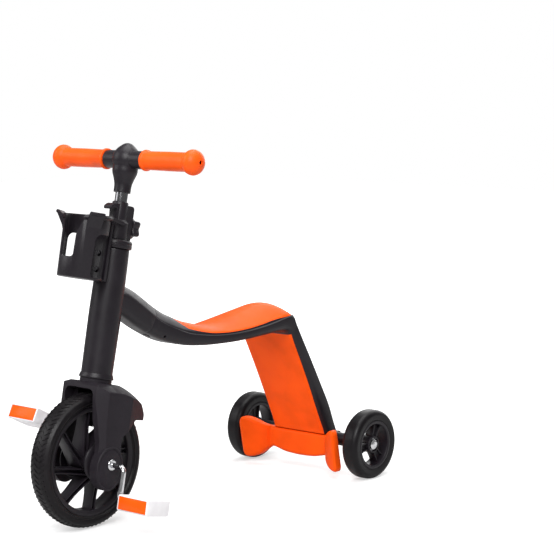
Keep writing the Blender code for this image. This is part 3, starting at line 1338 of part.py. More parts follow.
def main():
    clear_scene()
    steering = add_frame("steering_axis", AXIS_FOOT, (-RAKE, 0, 0))
    slope = math.atan2(NECK_CENTRE_Z - REAR_TYRE_RADIUS, WHEEL_BASE - NECK_CENTRE_Y)
    flip = add_frame("flip_axis", (0, NECK_CENTRE_Y, NECK_CENTRE_Z), (-math.pi / 2 - slope, 0, 0))
    column = build_column(steering)
    build_neck(column, steering, flip)
    build_steerer(steering)
    build_clamp(steering)
    build_handlebar(steering)
    build_fork(steering)
    build_front_wheel(steering)
    build_frame(flip)
    rear = add_frame("rear_axle_centre", (0, WHEEL_BASE, REAR_TYRE_RADIUS))
    build_rear_axle(rear)
    build_rear_wheels(rear)
    build_cup_holder(steering)
    middle = (WHEEL_BASE + REAR_TYRE_RADIUS - FRONT_TYRE_RADIUS) / 2
    floor = add_frame("floor_centre", (0, -middle, 0))
    for item in list(bpy.data.objects):
        if item.parent is None and item is not floor:
            item.parent = floor


if __name__ == "__main__":
    main()
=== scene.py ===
"""A child's three-wheel kick scooter that turns over into a pedal trike, in a plain studio."""
import json
import math

import bmesh
import bpy
from bpy.props import FloatProperty, FloatVectorProperty, IntProperty, PointerProperty
from mathutils import Matrix, Vector


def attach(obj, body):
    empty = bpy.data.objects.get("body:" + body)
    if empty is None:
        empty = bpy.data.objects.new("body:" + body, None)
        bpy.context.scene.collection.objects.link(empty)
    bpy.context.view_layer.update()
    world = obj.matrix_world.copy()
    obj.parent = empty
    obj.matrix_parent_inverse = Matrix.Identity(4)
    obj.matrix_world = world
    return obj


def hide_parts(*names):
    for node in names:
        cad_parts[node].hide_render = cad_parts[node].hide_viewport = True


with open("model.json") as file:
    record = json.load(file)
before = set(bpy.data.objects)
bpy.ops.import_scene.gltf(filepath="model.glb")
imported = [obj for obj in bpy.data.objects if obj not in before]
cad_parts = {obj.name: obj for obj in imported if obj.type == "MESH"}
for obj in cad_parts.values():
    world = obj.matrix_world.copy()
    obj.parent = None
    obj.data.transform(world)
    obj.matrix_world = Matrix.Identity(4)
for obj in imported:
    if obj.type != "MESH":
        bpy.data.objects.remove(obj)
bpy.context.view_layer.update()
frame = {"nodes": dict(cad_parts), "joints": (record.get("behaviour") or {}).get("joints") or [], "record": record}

bl_info = {
    "name": "Convertible Scooter",
    "version": (1, 0, 0),
    "blender": (4, 5, 0),
    "location": "3D View > Sidebar > Scooter",
    "description": "Dresses a child's convertible three-wheel scooter",
    "category": "Add Mesh",
}

JOINTS = {joint["name"]: joint for joint in frame["joints"]}
SIDES = (("left", 1), ("right", -1))


def joint_place(name):
    return Matrix.Translation(JOINTS[name]["pos_m"])


def turned(degrees, axis):
    return Matrix.Rotation(math.radians(degrees), 4, axis)


# STEERING and FLIP have their Z along the steering axis and along the neck. FLOOR is under the front axle,
# and +Y leads back from it.
UP = Vector(JOINTS["steering"]["axis"])
STEERING = joint_place("steering") @ Matrix.Rotation(-math.atan2(UP.y, UP.z), 4, "X")
FLIP_LINE = Vector(JOINTS["frame_flip"]["axis"])
FLIP_SLOPE = math.atan2(-FLIP_LINE.z, FLIP_LINE.y)
FLIP = joint_place("frame_flip") @ Matrix.Rotation(-math.pi / 2 - FLIP_SLOPE, 4, "X")
FRONT_AXLE = joint_place("front_wheel_spin")
FLOOR = Matrix.Translation((0, FRONT_AXLE.translation.y, 0))
REAR_WHEELS = {side: joint_place("rear_wheel_" + side + "_spin") for side, sign in SIDES}
ALONG_X = turned(90, "Y")

SHARP_ANGLE = 38.0
AXLE_HOLE = 0.0043
BAR_HOLE = 0.0093
SLIDER_HOLE = 0.0098
STEERER_HOLE = 0.0128
PARTING = 0.03
PARTING_GAP = 0.00015
PEDAL_START = 0.099


def colour(name, value, text):
    return FloatVectorProperty(
        name=name, description=text, subtype="COLOR", size=3, min=0, max=1, default=value
    )


def length(name, value, text):
    return FloatProperty(
        name=name, description=text, subtype="DISTANCE", unit="LENGTH", min=0, default=value
    )


def slant(name, degrees, text):
    return FloatProperty(name=name, description=text, unit="ROTATION", default=math.radians(degrees))


def ratio(name, value, text):
    return FloatProperty(name=name, description=text, default=value)


def number(name, value, text):
    return IntProperty(name=name, description=text, default=value)


class ScooterColours(bpy.types.PropertyGroup):
    """Colours of the scooter's plastics, rubber and metal."""

    charcoal: colour("Charcoal plastic", (0.011, 0.0086, 0.0118), "Column, fork, frame and rims")
    orange: colour("Orange plastic", (0.95, 0.09, 0.004), "Seat, leg panel and rear cover")
    grip: colour("Grip", (0.95, 0.095, 0.004), "Handlebar grips")
    tyre: colour("Tyre", (0.005, 0.004, 0.005), "All three tyres")
    white: colour("White plastic", (0.88, 0.86, 0.88), "Pedals and bearings")
    reflector: colour("Reflector", (0.95, 0.105, 0.004), "Pedal reflectors")
    chrome: colour("Chrome", (0.72, 0.72, 0.74), "Cranks, washers and nuts")
    # The bright tube's dark grey tone is a painted dark reflection: chrome made dark to stand for the dark
    # surroundings it reflects.
    tube: colour("Bright tube", (0.24, 0.24, 0.25), "Sliding tube")
    steel: colour("Steel", (0.42, 0.42, 0.44), "Screws and hidden tubes")
    black: colour("Black steel", (0.05, 0.048, 0.052), "Blackened screws")


def maths(operation, reflected=False):
    """A method of Signal that adds one Math node; the reflected one takes the other value first."""

    def method(self, other):
        pair = (other, self) if reflected else (self, other)
        return self.shop.node("ShaderNodeMath", {"operation": operation}, pair)

    return method


class Signal:
    """A socket that adds the Math node for each operator used on it."""

    def __init__(self, shop, socket):
        self.shop = shop
        self.socket = socket

    __add__ = __radd__ = maths("ADD")
    __mul__ = __rmul__ = maths("MULTIPLY")
    __sub__, __rsub__ = maths("SUBTRACT"), maths("SUBTRACT", reflected=True)
    __truediv__, __rtruediv__ = maths("DIVIDE"), maths("DIVIDE", reflected=True)


class NodeShop:
    """Adds nodes to one tree."""

    def __init__(self, tree):
        self.tree = tree

    def node(self, kind, settings=None, inputs=(), output=0):
        made = self.tree.nodes.new(kind)
        for key, value in (settings or {}).items():
            if key == "stops":
                ramp = made.color_ramp.elements
                for index, (place, shade) in enumerate(value):
                    stop = ramp[index] if index < 2 else ramp.new(place)
                    stop.position = place
                    stop.color = shade
            else:
                setattr(made, key, value)
        pairs = inputs.items() if isinstance(inputs, dict) else enumerate(inputs)
        for key, value in pairs:
            if isinstance(value, Signal):
                self.tree.links.new(value.socket, made.inputs[key])
            else:
                made.inputs[key].default_value = value
        return Signal(self, made.outputs[output])

    def finish(self, result, kind):
        self.tree.links.new(result.socket, self.tree.nodes.new(kind).inputs[0])


class MaterialShop(NodeShop):
    """Adds nodes to one new material."""

    def __init__(self, name):
        self.material = bpy.data.materials.new(name)
        self.material.use_nodes = True
        super().__init__(self.material.node_tree)
        self.tree.nodes.clear()

    def place(self):
        return self.node("ShaderNodeTexCoord", output=3)

    def noise(self, scale, detail=2.0, roughness=0.5):
        sockets = {"Vector": self.place(), "Scale": scale, "Detail": detail, "Roughness": roughness}
        return self.node("ShaderNodeTexNoise", {}, sockets)

    def ramp(self, value, low, high, start=0.0, end=1.0):
        sockets = {"Value": value, "From Min": low, "From Max": high, "To Min": start, "To Max": end}
        return self.node("ShaderNodeMapRange", {"clamp": True}, sockets)

    def mix(self, factor, first, second):
        return self.node("ShaderNodeMix", {"data_type": "RGBA"}, {0: factor, 6: first, 7: second}, 2)

    def bump(self, height, strength, distance):
        sockets = {"Height": height, "Strength": strength, "Distance": distance}
        return self.node("ShaderNodeBump", {}, sockets)

    def surface(self, **sockets):
        named = {key.replace("_", " "): value for key, value in sockets.items()}
        self.finish(self.node("ShaderNodeBsdfPrincipled", {}, named), "ShaderNodeOutputMaterial")


def shade(value, factor):
    return (value[0] * factor, value[1] * factor, value[2] * factor, 1.0)


def moulded(name, value, rough, grain, shine):
    """Moulded plastic: fine grain, slow drift of shade, and gloss that comes and goes."""
    shop = MaterialShop(name)
    drift = shop.ramp(shop.noise(scale=22.0, detail=3.0), 0.3, 0.7)
    smears = shop.noise(scale=60.0, detail=4.0, roughness=0.65)
    shop.surface(
        Base_Color=shop.mix(drift, shade(value, 0.9), shade(value, 1.12)),
        Roughness=shop.ramp(smears, 0.3, 0.7, start=rough - 0.05, end=rough + 0.07),
        Normal=shop.bump(shop.noise(grain, roughness=0.6), strength=0.14, distance=0.0003),
        Specular_IOR_Level=shine,
    )


def rubber(name, value):
    """Tyre rubber: matt, dusty in patches, with a fine pitted skin."""
    shop = MaterialShop(name)
    dust = shop.ramp(shop.noise(scale=35.0, detail=5.0, roughness=0.7), 0.52, 0.75)
    shop.surface(
        Base_Color=shop.mix(dust * 0.5, shade(value, 1.0), shade(value, 2.6)),
        Roughness=0.36 + dust * 0.2,
        Normal=shop.bump(shop.noise(scale=1400.0), strength=0.35, distance=0.0003),
        Specular_IOR_Level=0.2,
    )


def plated(name, value, rough):
    """Bright or plain metal with faint haze in tone and gloss, and a faint bumpy skin."""
    shop = MaterialShop(name)
    haze = shop.noise(scale=90.0, detail=4.0, roughness=0.6)
    shop.surface(
        Base_Color=shop.mix(shop.ramp(haze, 0.35, 0.7), shade(value, 0.9), shade(value, 1.0)),
        Roughness=shop.ramp(haze, 0.3, 0.75, start=rough, end=rough + 0.12),
        Metallic=1.0,
        Normal=shop.bump(haze, strength=0.05, distance=0.0002),
    )


def solid(bm, matrix=None):
    """A working object of the mesh, with its faces turned outward and its place in its points."""
    bmesh.ops.remove_doubles(bm, verts=bm.verts, dist=1e-6)
    bmesh.ops.recalc_face_normals(bm, faces=bm.faces)
    if matrix:
        bm.transform(matrix)
    mesh = bpy.data.meshes.new("shape")
    bm.to_mesh(mesh)
    bm.free()
    piece = bpy.data.objects.new("shape", mesh)
    bpy.context.scene.collection.objects.link(piece)
    return piece


def lathe(profile, matrix, steps=96):
    """Spins a (radius, height) profile once round the matrix's Z."""
    bm = bmesh.new()
    verts = [bm.verts.new((radius, 0, height)) for radius, height in profile]
    pairs = list(zip(verts, verts[1:]))
    if profile[0][0] > 0 or profile[-1][0] > 0:
        pairs.append((verts[-1], verts[0]))
    edges = [bm.edges.new(pair) for pair in pairs]
    bmesh.ops.spin(
        bm, geom=verts + edges, cent=(0, 0, 0), axis=(0, 0, 1), angle=math.tau, steps=steps, use_merge=True
    )
    return solid(bm, matrix)


def loft(rings, matrix=None):
    """Joins rings of as many points each into one closed skin."""
    bm = bmesh.new()
    loops = [[bm.verts.new(point) for point in ring] for ring in rings]
    for lower, upper in zip(loops, loops[1:]):
        for index in range(len(lower)):
            after = (index + 1) % len(lower)
            bm.faces.new((lower[index], lower[after], upper[after], upper[index]))
    bm.faces.new(loops[0])
    bm.faces.new(loops[-1])
    return solid(bm, matrix)


def extrude(outline, low, high, across, matrix=None):
    """A prism of the outline: (y, z) across X, (x, z) across Y or (x, y) across Z."""
    order = {"X": (2, 0, 1), "Y": (0, 2, 1), "Z": (0, 1, 2)}[across]
    rings = []
    for depth in (low, high):
        rings.append([tuple((u, v, depth)[axis] for axis in order) for u, v in outline])
    return loft(rings, matrix)



def bar(radius, low, high, across, matrix=None, steps=48):
    angles = [math.tau * step / steps for step in range(steps)]
    outline = [(radius * math.cos(angle), radius * math.sin(angle)) for angle in angles]
    return extrude(outline, low, high, across, matrix)


def box(x_span, y_span, z_span, matrix=None):
    (left, right), (front, back) = x_span, y_span
    outline = [(left, front), (right, front), (right, back), (left, back)]
    return extrude(outline, z_span[0], z_span[1], "Z", matrix)


def both(half):
    """An outline from its right half, which is mirrored to the left."""
    return [*half, *((-across, *rest) for across, *rest in reversed(half))]


def both_faces(half):
    """A section of a wheel from its half on one side of the wheel's middle plane."""
    return [*half, *((radius, -depth) for radius, depth in reversed(half))]


def beyond(radius, steps):
    """Profile points from pairs of how far each lies beyond the radius and its height."""
    return [(radius + out, height) for out, height in steps]


def arc(centre, radius, start, end, steps):
    """Points along a circular arc, angles in degrees."""
    angles = [math.radians(start + (end - start) * step / steps) for step in range(steps + 1)]
    return [(centre[0] + radius * math.cos(a), centre[1] + radius * math.sin(a)) for a in angles]


def rounded(corners, steps=8):
    """An outline from corners (u, v, radius), each corner rounded by its own radius."""
    outline = []
    for index, (u, v, radius) in enumerate(corners):
        corner = Vector((u, v))
        if radius <= 0:
            outline.append(tuple(corner))
            continue
        before = (Vector(corners[index - 1][:2]) - corner).normalized()
        after = (Vector(corners[(index + 1) % len(corners)][:2]) - corner).normalized()
        half = before.angle(after) / 2
        reach = radius / math.tan(half)
        centre = corner + (before + after).normalized() * (radius / math.sin(half))
        first = corner + before * reach - centre
        sweep = first.angle_signed(corner + after * reach - centre)
        for step in range(steps + 1):
            outline.append(tuple(centre + Matrix.Rotation(-sweep * step / steps, 2) @ first))
    return outline


def smooth_line(points, parts):
    """A smooth curve through the points, with that many steps from each one to the next."""
    line = []
    last = len(points) - 1
    for index in range(last):
        near = (points[max(index - 1, 0)], points[index], points[index + 1], points[min(index + 2, last)])
        for step in range(parts):
            t = step / parts
            spot = []
            for a, b, c, d in zip(*near):
                bend = 2 * a - 5 * b + 4 * c - d + t * (3 * (b - c) + d - a)
                spot.append(b + 0.5 * t * (c - a + t * bend))
            line.append(tuple(spot))
    return line + [tuple(points[last])]


def smooth_step(value, start, end):
    """Rises from 0 at the start to 1 at the end without a kink."""
    share = min(max((value - start) / (end - start), 0.0), 1.0)
    return share * share * (3 - 2 * share)


def settle(piece):
    """Replaces the piece's modifiers by the mesh they give."""
    depsgraph = bpy.context.evaluated_depsgraph_get()
    mesh = bpy.data.meshes.new_from_object(piece.evaluated_get(depsgraph))
    piece.modifiers.clear()
    piece.data = mesh
    return piece


def carve(piece, operation, *tools):
    """Unites with, cuts by or keeps the part inside each tool, and removes the tools."""
    for tool in tools:
        change = piece.modifiers.new("carve", "BOOLEAN")
        change.operation = operation
        change.solver = "EXACT"
        change.object = tool
    settle(piece)
    for tool in tools:
        bpy.data.objects.remove(tool)
    return piece


def soften(piece, width, segments=3, angle=30.0):
    """Rounds the piece's sharp edges."""
    change = piece.modifiers.new("soften", "BEVEL")
    change.width = width
    change.segments = segments
    change.limit_method = "ANGLE"
    change.angle_limit = math.radians(angle)
    change.harden_normals = False
    return settle(piece)


def ready(piece, name, slot, body, *nodes, material=None):
    """Names and shades a finished piece, and lets it ride in place of its CAD nodes."""
    piece.name = name
    piece.data.name = name
    piece.data.materials.clear()
    piece.data.materials.append(bpy.data.materials[material or MATERIALS[slot]])
    piece.data.shade_smooth()
    piece.data.set_sharp_from_angle(angle=math.radians(SHARP_ANGLE))
    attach(piece, body)
    if nodes:
        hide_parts(*nodes)


def around_axle(piece, slot, count, matrix):
    """Copies the piece evenly round the matrix's Z with a Geometry Nodes tree, as one plain mesh."""
    tree = bpy.data.node_groups.new("Copies round an axle", "GeometryNodeTree")
    identifiers = {}
    for name in ("Geometry", "Count", "Material"):
        kind = "NodeSocket" + ("Int" if name == "Count" else name)
        socket = tree.interface.new_socket(name, in_out="INPUT", socket_type=kind)
        identifiers[name] = socket.identifier
    tree.interface.new_socket("Geometry", in_out="OUTPUT", socket_type="NodeSocketGeometry")
    shop = NodeShop(tree)
    given = tree.nodes.new("NodeGroupInput").outputs
    shape, number_of_copies, coat = (Signal(shop, given[name]) for name in identifiers)
    line = shop.node("GeometryNodeMeshLine", {}, {"Count": number_of_copies, "Offset": (0, 0, 0)})
    turn = shop.node("GeometryNodeInputIndex") * (math.tau / number_of_copies)
    turn = shop.node("ShaderNodeCombineXYZ", {}, {"Z": turn})
    sockets = {"Points": line, "Instance": shape, "Rotation": turn}
    copies = shop.node("GeometryNodeInstanceOnPoints", {}, sockets)
    copies = shop.node("GeometryNodeRealizeInstances", {}, (copies,))
    copies = shop.node("GeometryNodeSetMaterial", {}, {"Geometry": copies, "Material": coat})
    shop.finish(copies, "NodeGroupOutput")
    change = piece.modifiers.new("copies", "NODES")
    change.node_group = tree
    change[identifiers["Count"]] = count
    change[identifiers["Material"]] = bpy.data.materials[MATERIALS[slot]]
    settle(piece)
    piece.data.transform(matrix)
    return piece


MATERIALS = {
    "charcoal": "charcoal plastic",
    "orange": "orange plastic",
    "grip": "orange grip",
    "tyre": "tyre rubber",
    "chrome": "chrome plate",
    "steel": "plain steel",
    "black_steel": "black steel",
    "white": "white plastic",
    "reflector": "pedal reflector",
}


class SCOOTER_OT_materials(bpy.types.Operator):
    """Makes the plastics, rubbers and metals, and paints the CAD nodes that stay"""

    bl_idname = "scooter.materials"
    bl_label = "Materials"

    def execute(self, context):
        tones = context.scene.scooter_colours
        moulded("charcoal plastic", tones.charcoal, rough=0.38, grain=900.0, shine=0.28)
        moulded("matt charcoal", shade(tones.charcoal, 1.3), rough=0.52, grain=900.0, shine=0.2)
        moulded("orange plastic", tones.orange, rough=0.4, grain=700.0, shine=0.07)
        moulded("orange grip", tones.grip, rough=0.42, grain=900.0, shine=0.2)
        moulded("white plastic", tones.white, rough=0.38, grain=700.0, shine=0.4)
        moulded("pedal reflector", tones.reflector, rough=0.22, grain=300.0, shine=0.12)
        rubber("tyre rubber", tones.tyre)
        plated("chrome plate", tones.chrome, rough=0.08)
        # Dark grey base on the bright tube: painted dark reflection in place of chrome reflecting dark
        # surroundings.
        plated("bright tube", tones.tube, rough=0.12)
        plated("plain steel", tones.steel, rough=0.26)
        plated("black steel", tones.black, rough=0.38)
        for row in frame["record"]["subparts"]:
            materials = frame["nodes"][row["node"]].data.materials
            materials.clear()
            materials.append(bpy.data.materials[MATERIALS[row["material_slot"]]])
        return {"FINISHED"}


# Tables named here and below hold profiles as (radius, height along the axis), or how far beyond a radius;
# outlines as (across, up), with a third number where a corner is rounded; all in metres.
HUB_CAP = (
    (AXLE_HOLE, 0.0253), (0.029, 0.0253), (0.029, 0.0268), (0.027, 0.0284), (0.022, 0.0309),
    (0.019, 0.0313), (0.018, 0.0305), (0.012, 0.0305), (0.011, 0.0313), (AXLE_HOLE, 0.0313),
)
FRONT_BEAD = ((0.0852, 0.0178), (0.0866, 0.018), (0.0872, 0.0177), (0.088, 0.0183))
FRONT_RIM = (
    (0.0742, 0.005), (0.0738, 0.0085), (0.0746, 0.0128), (0.0765, 0.0142), (0.0785, 0.0145),
    (0.079, 0.015),
)
FRONT_HUB = ((0.0045, 0.025), (0.018, 0.025), (0.019, 0.0235), (0.0205, 0.01))
TREAD_REACH = 0.0136


def ribbed(half, depth, rib, web):
    """Section of a spoke, a web between two ribs, as (across the spoke, along the axle)."""
    outline = [(-half, -depth), (-half + rib, -depth), (-half + rib, -web)]
    outline += [(half - rib, -web), (half - rib, -depth), (half, -depth)]
    return outline + [(-across, -along) for across, along in outline]


class FrontWheelSizes(bpy.types.PropertyGroup):
    """The spoked front wheel."""

    radius: length("Tyre radius", 0.1015, "From the axle to the top of the tread")
    width: length("Tyre width", 0.038, "Across the side walls")
    seat: length("Rim radius", 0.0825, "Where the tyre sits on the rim")
    treads: number("Tread bars", 76, "Bars round the tyre")
    tread_height: length("Tread height", 0.0009, "How far the bars stand out")
    spokes: number("Spokes", 8, "Number of spokes")
    first_spoke: slant("First spoke", -11.0, "Its turn from straight down")
    spoke_offset: length("Spoke offset", 0.0165, "From the axle's middle to the line of a spoke")
    spoke_width: length("Spoke width", 0.0088, "Across a spoke's two ribs")


class SCOOTER_OT_front_wheel(bpy.types.Operator):
    """Makes the front tyre with its wavy tread, the spoked rim and the hub caps"""

    bl_idname = "scooter.front_wheel"
    bl_label = "Front wheel"

    def execute(self, context):
        sizes = context.scene.scooter_front_wheel
        axle = FRONT_AXLE @ ALONG_X
        self.tyre(sizes, axle)
        self.rim(sizes, axle)
        for side, degrees in (("left", 0), ("right", 180)):
            cap = soften(lathe(HUB_CAP, axle @ turned(degrees, "X"), 72), 0.0004, 2)
            ready(cap, "front_hub_cap_" + side, "charcoal", "front_wheel", "hub_cap_" + side)
        return {"FINISHED"}

    def crown(self, sizes, depth):
        """Radius of the tyre's skin under the tread bars at that depth from the middle."""
        fall, fullness = 0.0105, 2.6
        share = abs(depth) / (sizes.width / 2)
        return sizes.radius - sizes.tread_height - fall * (1 - (1 - share**fullness) ** 0.5)

    def tyre(self, sizes, axle):
        half, top = sizes.width / 2, sizes.tread_height
        groove_depth, groove_place, groove_width, wall_top = 0.0007, 0.0148, 0.0006, 0.09
        section = [(sizes.seat + 0.0003, 0.015), (sizes.seat + 0.0012, 0.0156), *FRONT_BEAD]
        section.append((0.0892, half - 0.0002))
        for step in range(15):
            depth = half * math.sin(math.pi / 2 * (1 - step / 14) ** 1.2)
            radius = self.crown(sizes, depth)
            if radius > wall_top:
                radius -= groove_depth * math.exp(-(((abs(depth) - groove_place) / groove_width) ** 2))
            section.append((radius, depth))
        tyre = lathe(both_faces(section), axle, 144)
        rings = []
        steps = 18
        for step in range(steps + 1):
            depth = -TREAD_REACH + 2 * TREAD_REACH * step / steps
            skin = self.crown(sizes, depth)
            swing = 0.03 * math.sin(depth / TREAD_REACH * math.pi * 1.5)
            ring = []
            for lift, offset in ((-0.0012, -0.0011), (top, -0.00075), (top, 0.00075), (-0.0012, 0.0011)):
                angle = swing + offset / skin
                ring.append(((skin + lift) * math.cos(angle), (skin + lift) * math.sin(angle), depth))
            rings.append(ring)
        bars = around_axle(loft(rings), "tyre", sizes.treads, axle)
        ready(tyre, "front_tyre_skin", "tyre", "front_wheel", "front_tyre")
        ready(bars, "front_tread_bars", "tyre", "front_wheel")

    def rim(self, sizes, axle):
        ring = lathe(both_faces([*FRONT_RIM, (sizes.seat, 0.0152)]), axle, 144)
        ready(soften(ring, 0.0005, 2), "front_rim_ring", "charcoal", "front_wheel", "front_rim")
        start, end, rib, web = 0.006, 0.0733, 0.0019, 0.0045
        rings = []
        for share in (0, 0.12, 0.3, 0.5, 0.7, 0.88, 1.0):
            widening = 1.1 - 0.15 * smooth_step(share, 0, 0.7) + 0.15 * smooth_step(share, 0.8, 1)
            depth = 0.03 - 0.011 * smooth_step(share, 0, 0.75)
            along = start + (end - start) * share
            outline = ribbed(sizes.spoke_width * widening / 2, depth / 2, rib, web)
            rings.append([(along, a + sizes.spoke_offset, b) for a, b in outline])
        place = axle @ Matrix.Rotation(sizes.first_spoke, 4, "Z")
        spokes = around_axle(soften(loft(rings), 0.0004, 2), "charcoal", sizes.spokes, place)
        ready(spokes, "front_spokes", "charcoal", "front_wheel")
        hub = soften(lathe(both_faces(FRONT_HUB), axle, 72), 0.0004, 2)
        ready(hub, "front_hub", "charcoal", "front_wheel")


RIM_DEPTH = 0.006
REAR_HUB = ((0.0113, 0.0108), (0.0132, 0.0108), (0.0142, 0.0098))


class RearWheelSizes(bpy.types.PropertyGroup):
    """The two three-spoked rear wheels."""

    radius: length("Tyre radius", 0.0574, "From the axle to the tread")
    width: length("Tyre width", 0.03, "Across the side walls")
    seat: length("Rim radius", 0.0404, "Where the tyre sits on the rim")
    spokes: number("Spokes", 3, "Number of spokes")


class SCOOTER_OT_rear_wheels(bpy.types.Operator):
    """Makes both rear tyres, three-spoked rims and their hubs"""

    bl_idname = "scooter.rear_wheels"
    bl_label = "Rear wheels"

    def execute(self, context):
        sizes = context.scene.scooter_rear_wheels
        for side, sign, first_spoke in (("left", 1, 37.0), ("right", -1, 180.0)):
            axle = REAR_WHEELS[side] @ turned(sign * 90, "Y")
            self.wheel(sizes, side, axle)
            self.spokes(sizes, side, REAR_WHEELS[side] @ ALONG_X @ turned(first_spoke, "Z"))
            hub = soften(lathe(both_faces(REAR_HUB), axle, 64), 0.0003, 2)
            ready(hub, "rear_hub_" + side, "charcoal", "rear_wheel_" + side)
        return {"FINISHED"}

    def wheel(self, sizes, side, axle):
        body = "rear_wheel_" + side
        half = sizes.width / 2
        shoulder, side_fall = 0.0085, 0.0095
        section = [(sizes.seat + 0.0003, half - 0.0022), (sizes.seat + 0.001, half - 0.0014)]
        for step in range(13):
            angle = math.pi / 2 * step / 12
            radius = sizes.radius - shoulder + shoulder * math.sin(angle)
            section.append((radius, half - side_fall * (1 - math.cos(angle))))
        tyre = lathe(both_faces(section), axle, 112)
        ready(tyre, "rear_tyre_skin_" + side, "tyre", body, "rear_tyre_" + side)
        inner = sizes.seat - RIM_DEPTH
        ring = [(inner, 0.0095), (inner + 0.0006, 0.0128), (inner + 0.0022, 0.0135), (sizes.seat, 0.0135)]
        ring = soften(lathe(both_faces(ring), axle, 112), 0.0004, 2)
        ready(ring, "rear_rim_ring_" + side, "charcoal", body, "rear_rim_" + side)

    def spokes(self, sizes, side, place):
        start, end, half_depth, rib, web = 0.0115, sizes.seat - RIM_DEPTH + 0.0012, 0.0075, 0.0022, 0.0035
        rings = []
        for share in (0, 0.25, 0.5, 0.75, 1.0):
            radius = start + (end - start) * share
            width = 0.0125 + 0.0065 * share**2
            rings.append([(radius, a, b) for a, b in ribbed(width / 2, half_depth, rib, web)])
        spokes = around_axle(soften(loft(rings), 0.0004, 2), "charcoal", sizes.spokes, place)
        ready(spokes, "rear_spokes_" + side, "charcoal", "rear_wheel_" + side)


GRIP_FLANGE = ((-0.0006, 0.0399), (0, 0.0408), (0, 0.0432), (-0.0007, 0.0443))
GRIP_SLEEVE = ((0.0007, 0.0452), (0, 0.0468), (0.0005, 0.088), (0.0004, 0.1235), (0.0008, 0.1256))
HEAD_FOOT = ((0, -0.02), (0.0098, -0.02), (0.0098, -0.05), (0.0124, -0.05), (0.0128, -0.0496))
HEAD_NECK = ((0.0128, -0.049), (0.0132, -0.038), (0.0158, -0.0285), (0.0188, -0.0195))
HEAD_TOP = ((0.0158, 0.015), (0.0108, 0.0198), (0.0055, 0.0236), (0.0, 0.025))
HEAD_SLEEVE = (
    (0, -0.0392), (0.0123, -0.0392), (0.0135, -0.038), (0.0135, 0.038), (0.0123, 0.0392), (0, 0.0392),
)


class HandlebarSizes(bpy.types.PropertyGroup):
    """Grips, head and sliding tube."""

    height: length("Bar height", 0.452, "From the foot of the steering axis to the bar")
    grip: length("Grip radius", 0.01375, "Of the sleeve between flange and bulb")
    flange: length("Flange radius", 0.0158, "Of the ring at the grip's inner end")
    bulb: length("Bulb radius", 0.019, "Of the ball at the grip's outer end")
    head: length("Head radius", 0.0217, "Of the moulding round the bar")
    tube: length("Tube radius", 0.0095, "Of the sliding tube")


class SCOOTER_OT_handlebar(bpy.types.Operator):
    """Makes the two grips, the head and the sliding tube"""

    bl_idname = "scooter.handlebar"
    bl_label = "Handlebar"

    def execute(self, context):
        sizes = context.scene.scooter_handlebar
        place = STEERING @ Matrix.Translation((0, 0, sizes.height))
        for side, sign in SIDES:
            grip = lathe(self.grip(sizes), place @ turned(sign * 90, "Y"), 80)
            ready(grip, "grip_skin_" + side, "grip", "handlebar", "grip_" + side)
        head = lathe(self.head(sizes), place, 96)
        carve(head, "UNION", lathe(HEAD_SLEEVE, place @ ALONG_X, 72))
        carve(head, "DIFFERENCE", bar(BAR_HOLE, -0.05, 0.05, "X", place))
        soften(head, 0.001, 3, 40)
        ready(head, "stem_head_skin", "charcoal", "handlebar", "stem_head")
        outer, inner, low, high = sizes.tube, sizes.tube - 0.0018, -0.252, -0.0203
        tube = lathe([(inner, low), (outer, low), (outer, high), (inner, high)], place, 72)
        ready(tube, "slider_tube_skin", "steel", "handlebar", "slider_tube", material="bright tube")
        return {"FINISHED"}

    def grip(self, sizes):
        end, hole, start, floor = 0.1525, 0.0035, 0.0395, 0.1488
        line = [(BAR_HOLE, start), (0.014, start)]
        line += beyond(sizes.flange, GRIP_FLANGE) + beyond(sizes.grip, GRIP_SLEEVE)
        for degrees in range(130, 8, -6):
            angle = math.radians(degrees)
            line.append((sizes.bulb * math.sin(angle), 0.137 + 0.0155 * math.cos(angle)))
        line += [(hole + 0.0004, end - 0.0002), (hole, end - 0.001), (hole, floor), (BAR_HOLE, floor)]
        return line

    def head(self, sizes):
        curve = list(HEAD_NECK)
        for degrees in (-28, -10, 8, 24):
            angle = math.radians(degrees)
            curve.append((sizes.head * math.cos(angle), sizes.head * math.sin(angle)))
        return [*HEAD_FOOT, *smooth_line([*curve, *HEAD_TOP], 4)]


COLLAR_ENDS = (0.3316, 0.3886)
COLLAR_FOOT = ((-0.0008, 0.3316), (0, 0.3324), (0, 0.3568), (-0.001, 0.358))
COLLAR_THROAT = ((0.0008, 0.3604), (0, 0.3614), (0, 0.3868), (-0.0006, 0.388), (-0.0018, 0.3886))
COLLAR_BLOCK = ((0.004, 0.332, 0), (0.0212, 0.332, 0.002), (0.0212, 0.384, 0.005), (0.004, 0.384, 0))
BAG_HOOK = (
    (-0.006, 0.3842, 0), (-0.0185, 0.3842, 0.006), (-0.0252, 0.3795, 0.003), (-0.025, 0.3745, 0.0014),
    (-0.022, 0.3745, 0.0012), (-0.0202, 0.3777, 0.002), (-0.0132, 0.3767, 0.003), (-0.0117, 0.36, 0),
    (-0.006, 0.36, 0),
)
COLLAR_HOLE = (
    (0, 0.3), (STEERER_HOLE, 0.3), (STEERER_HOLE, 0.3588), (SLIDER_HOLE, 0.3588), (SLIDER_HOLE, 0.4),
    (0, 0.4),
)
KNOB_BACK = 0.0215
KNOB_HEIGHT = 0.352
KNOB_LAYERS = (
    (0.5, 0), (0.84, 0), (0.94, 0.0008), (1, 0.0026), (1, 0.011), (0.95, 0.013), (0.85, 0.0142),
    (0.62, 0.0145), (0.56, 0.0138), (0.3, 0.0136),
)
HEADSET_RING = (
    (STEERER_HOLE, 0.3183), (0.024, 0.3183), (0.0254, 0.3188), (0.026, 0.3202), (0.026, 0.3242),
    (0.0256, 0.3247), (0.0256, 0.3253), (0.026, 0.3258), (0.0259, 0.3284), (0.025, 0.3302),
    (0.0232, 0.3313), (STEERER_HOLE, 0.3313),
)


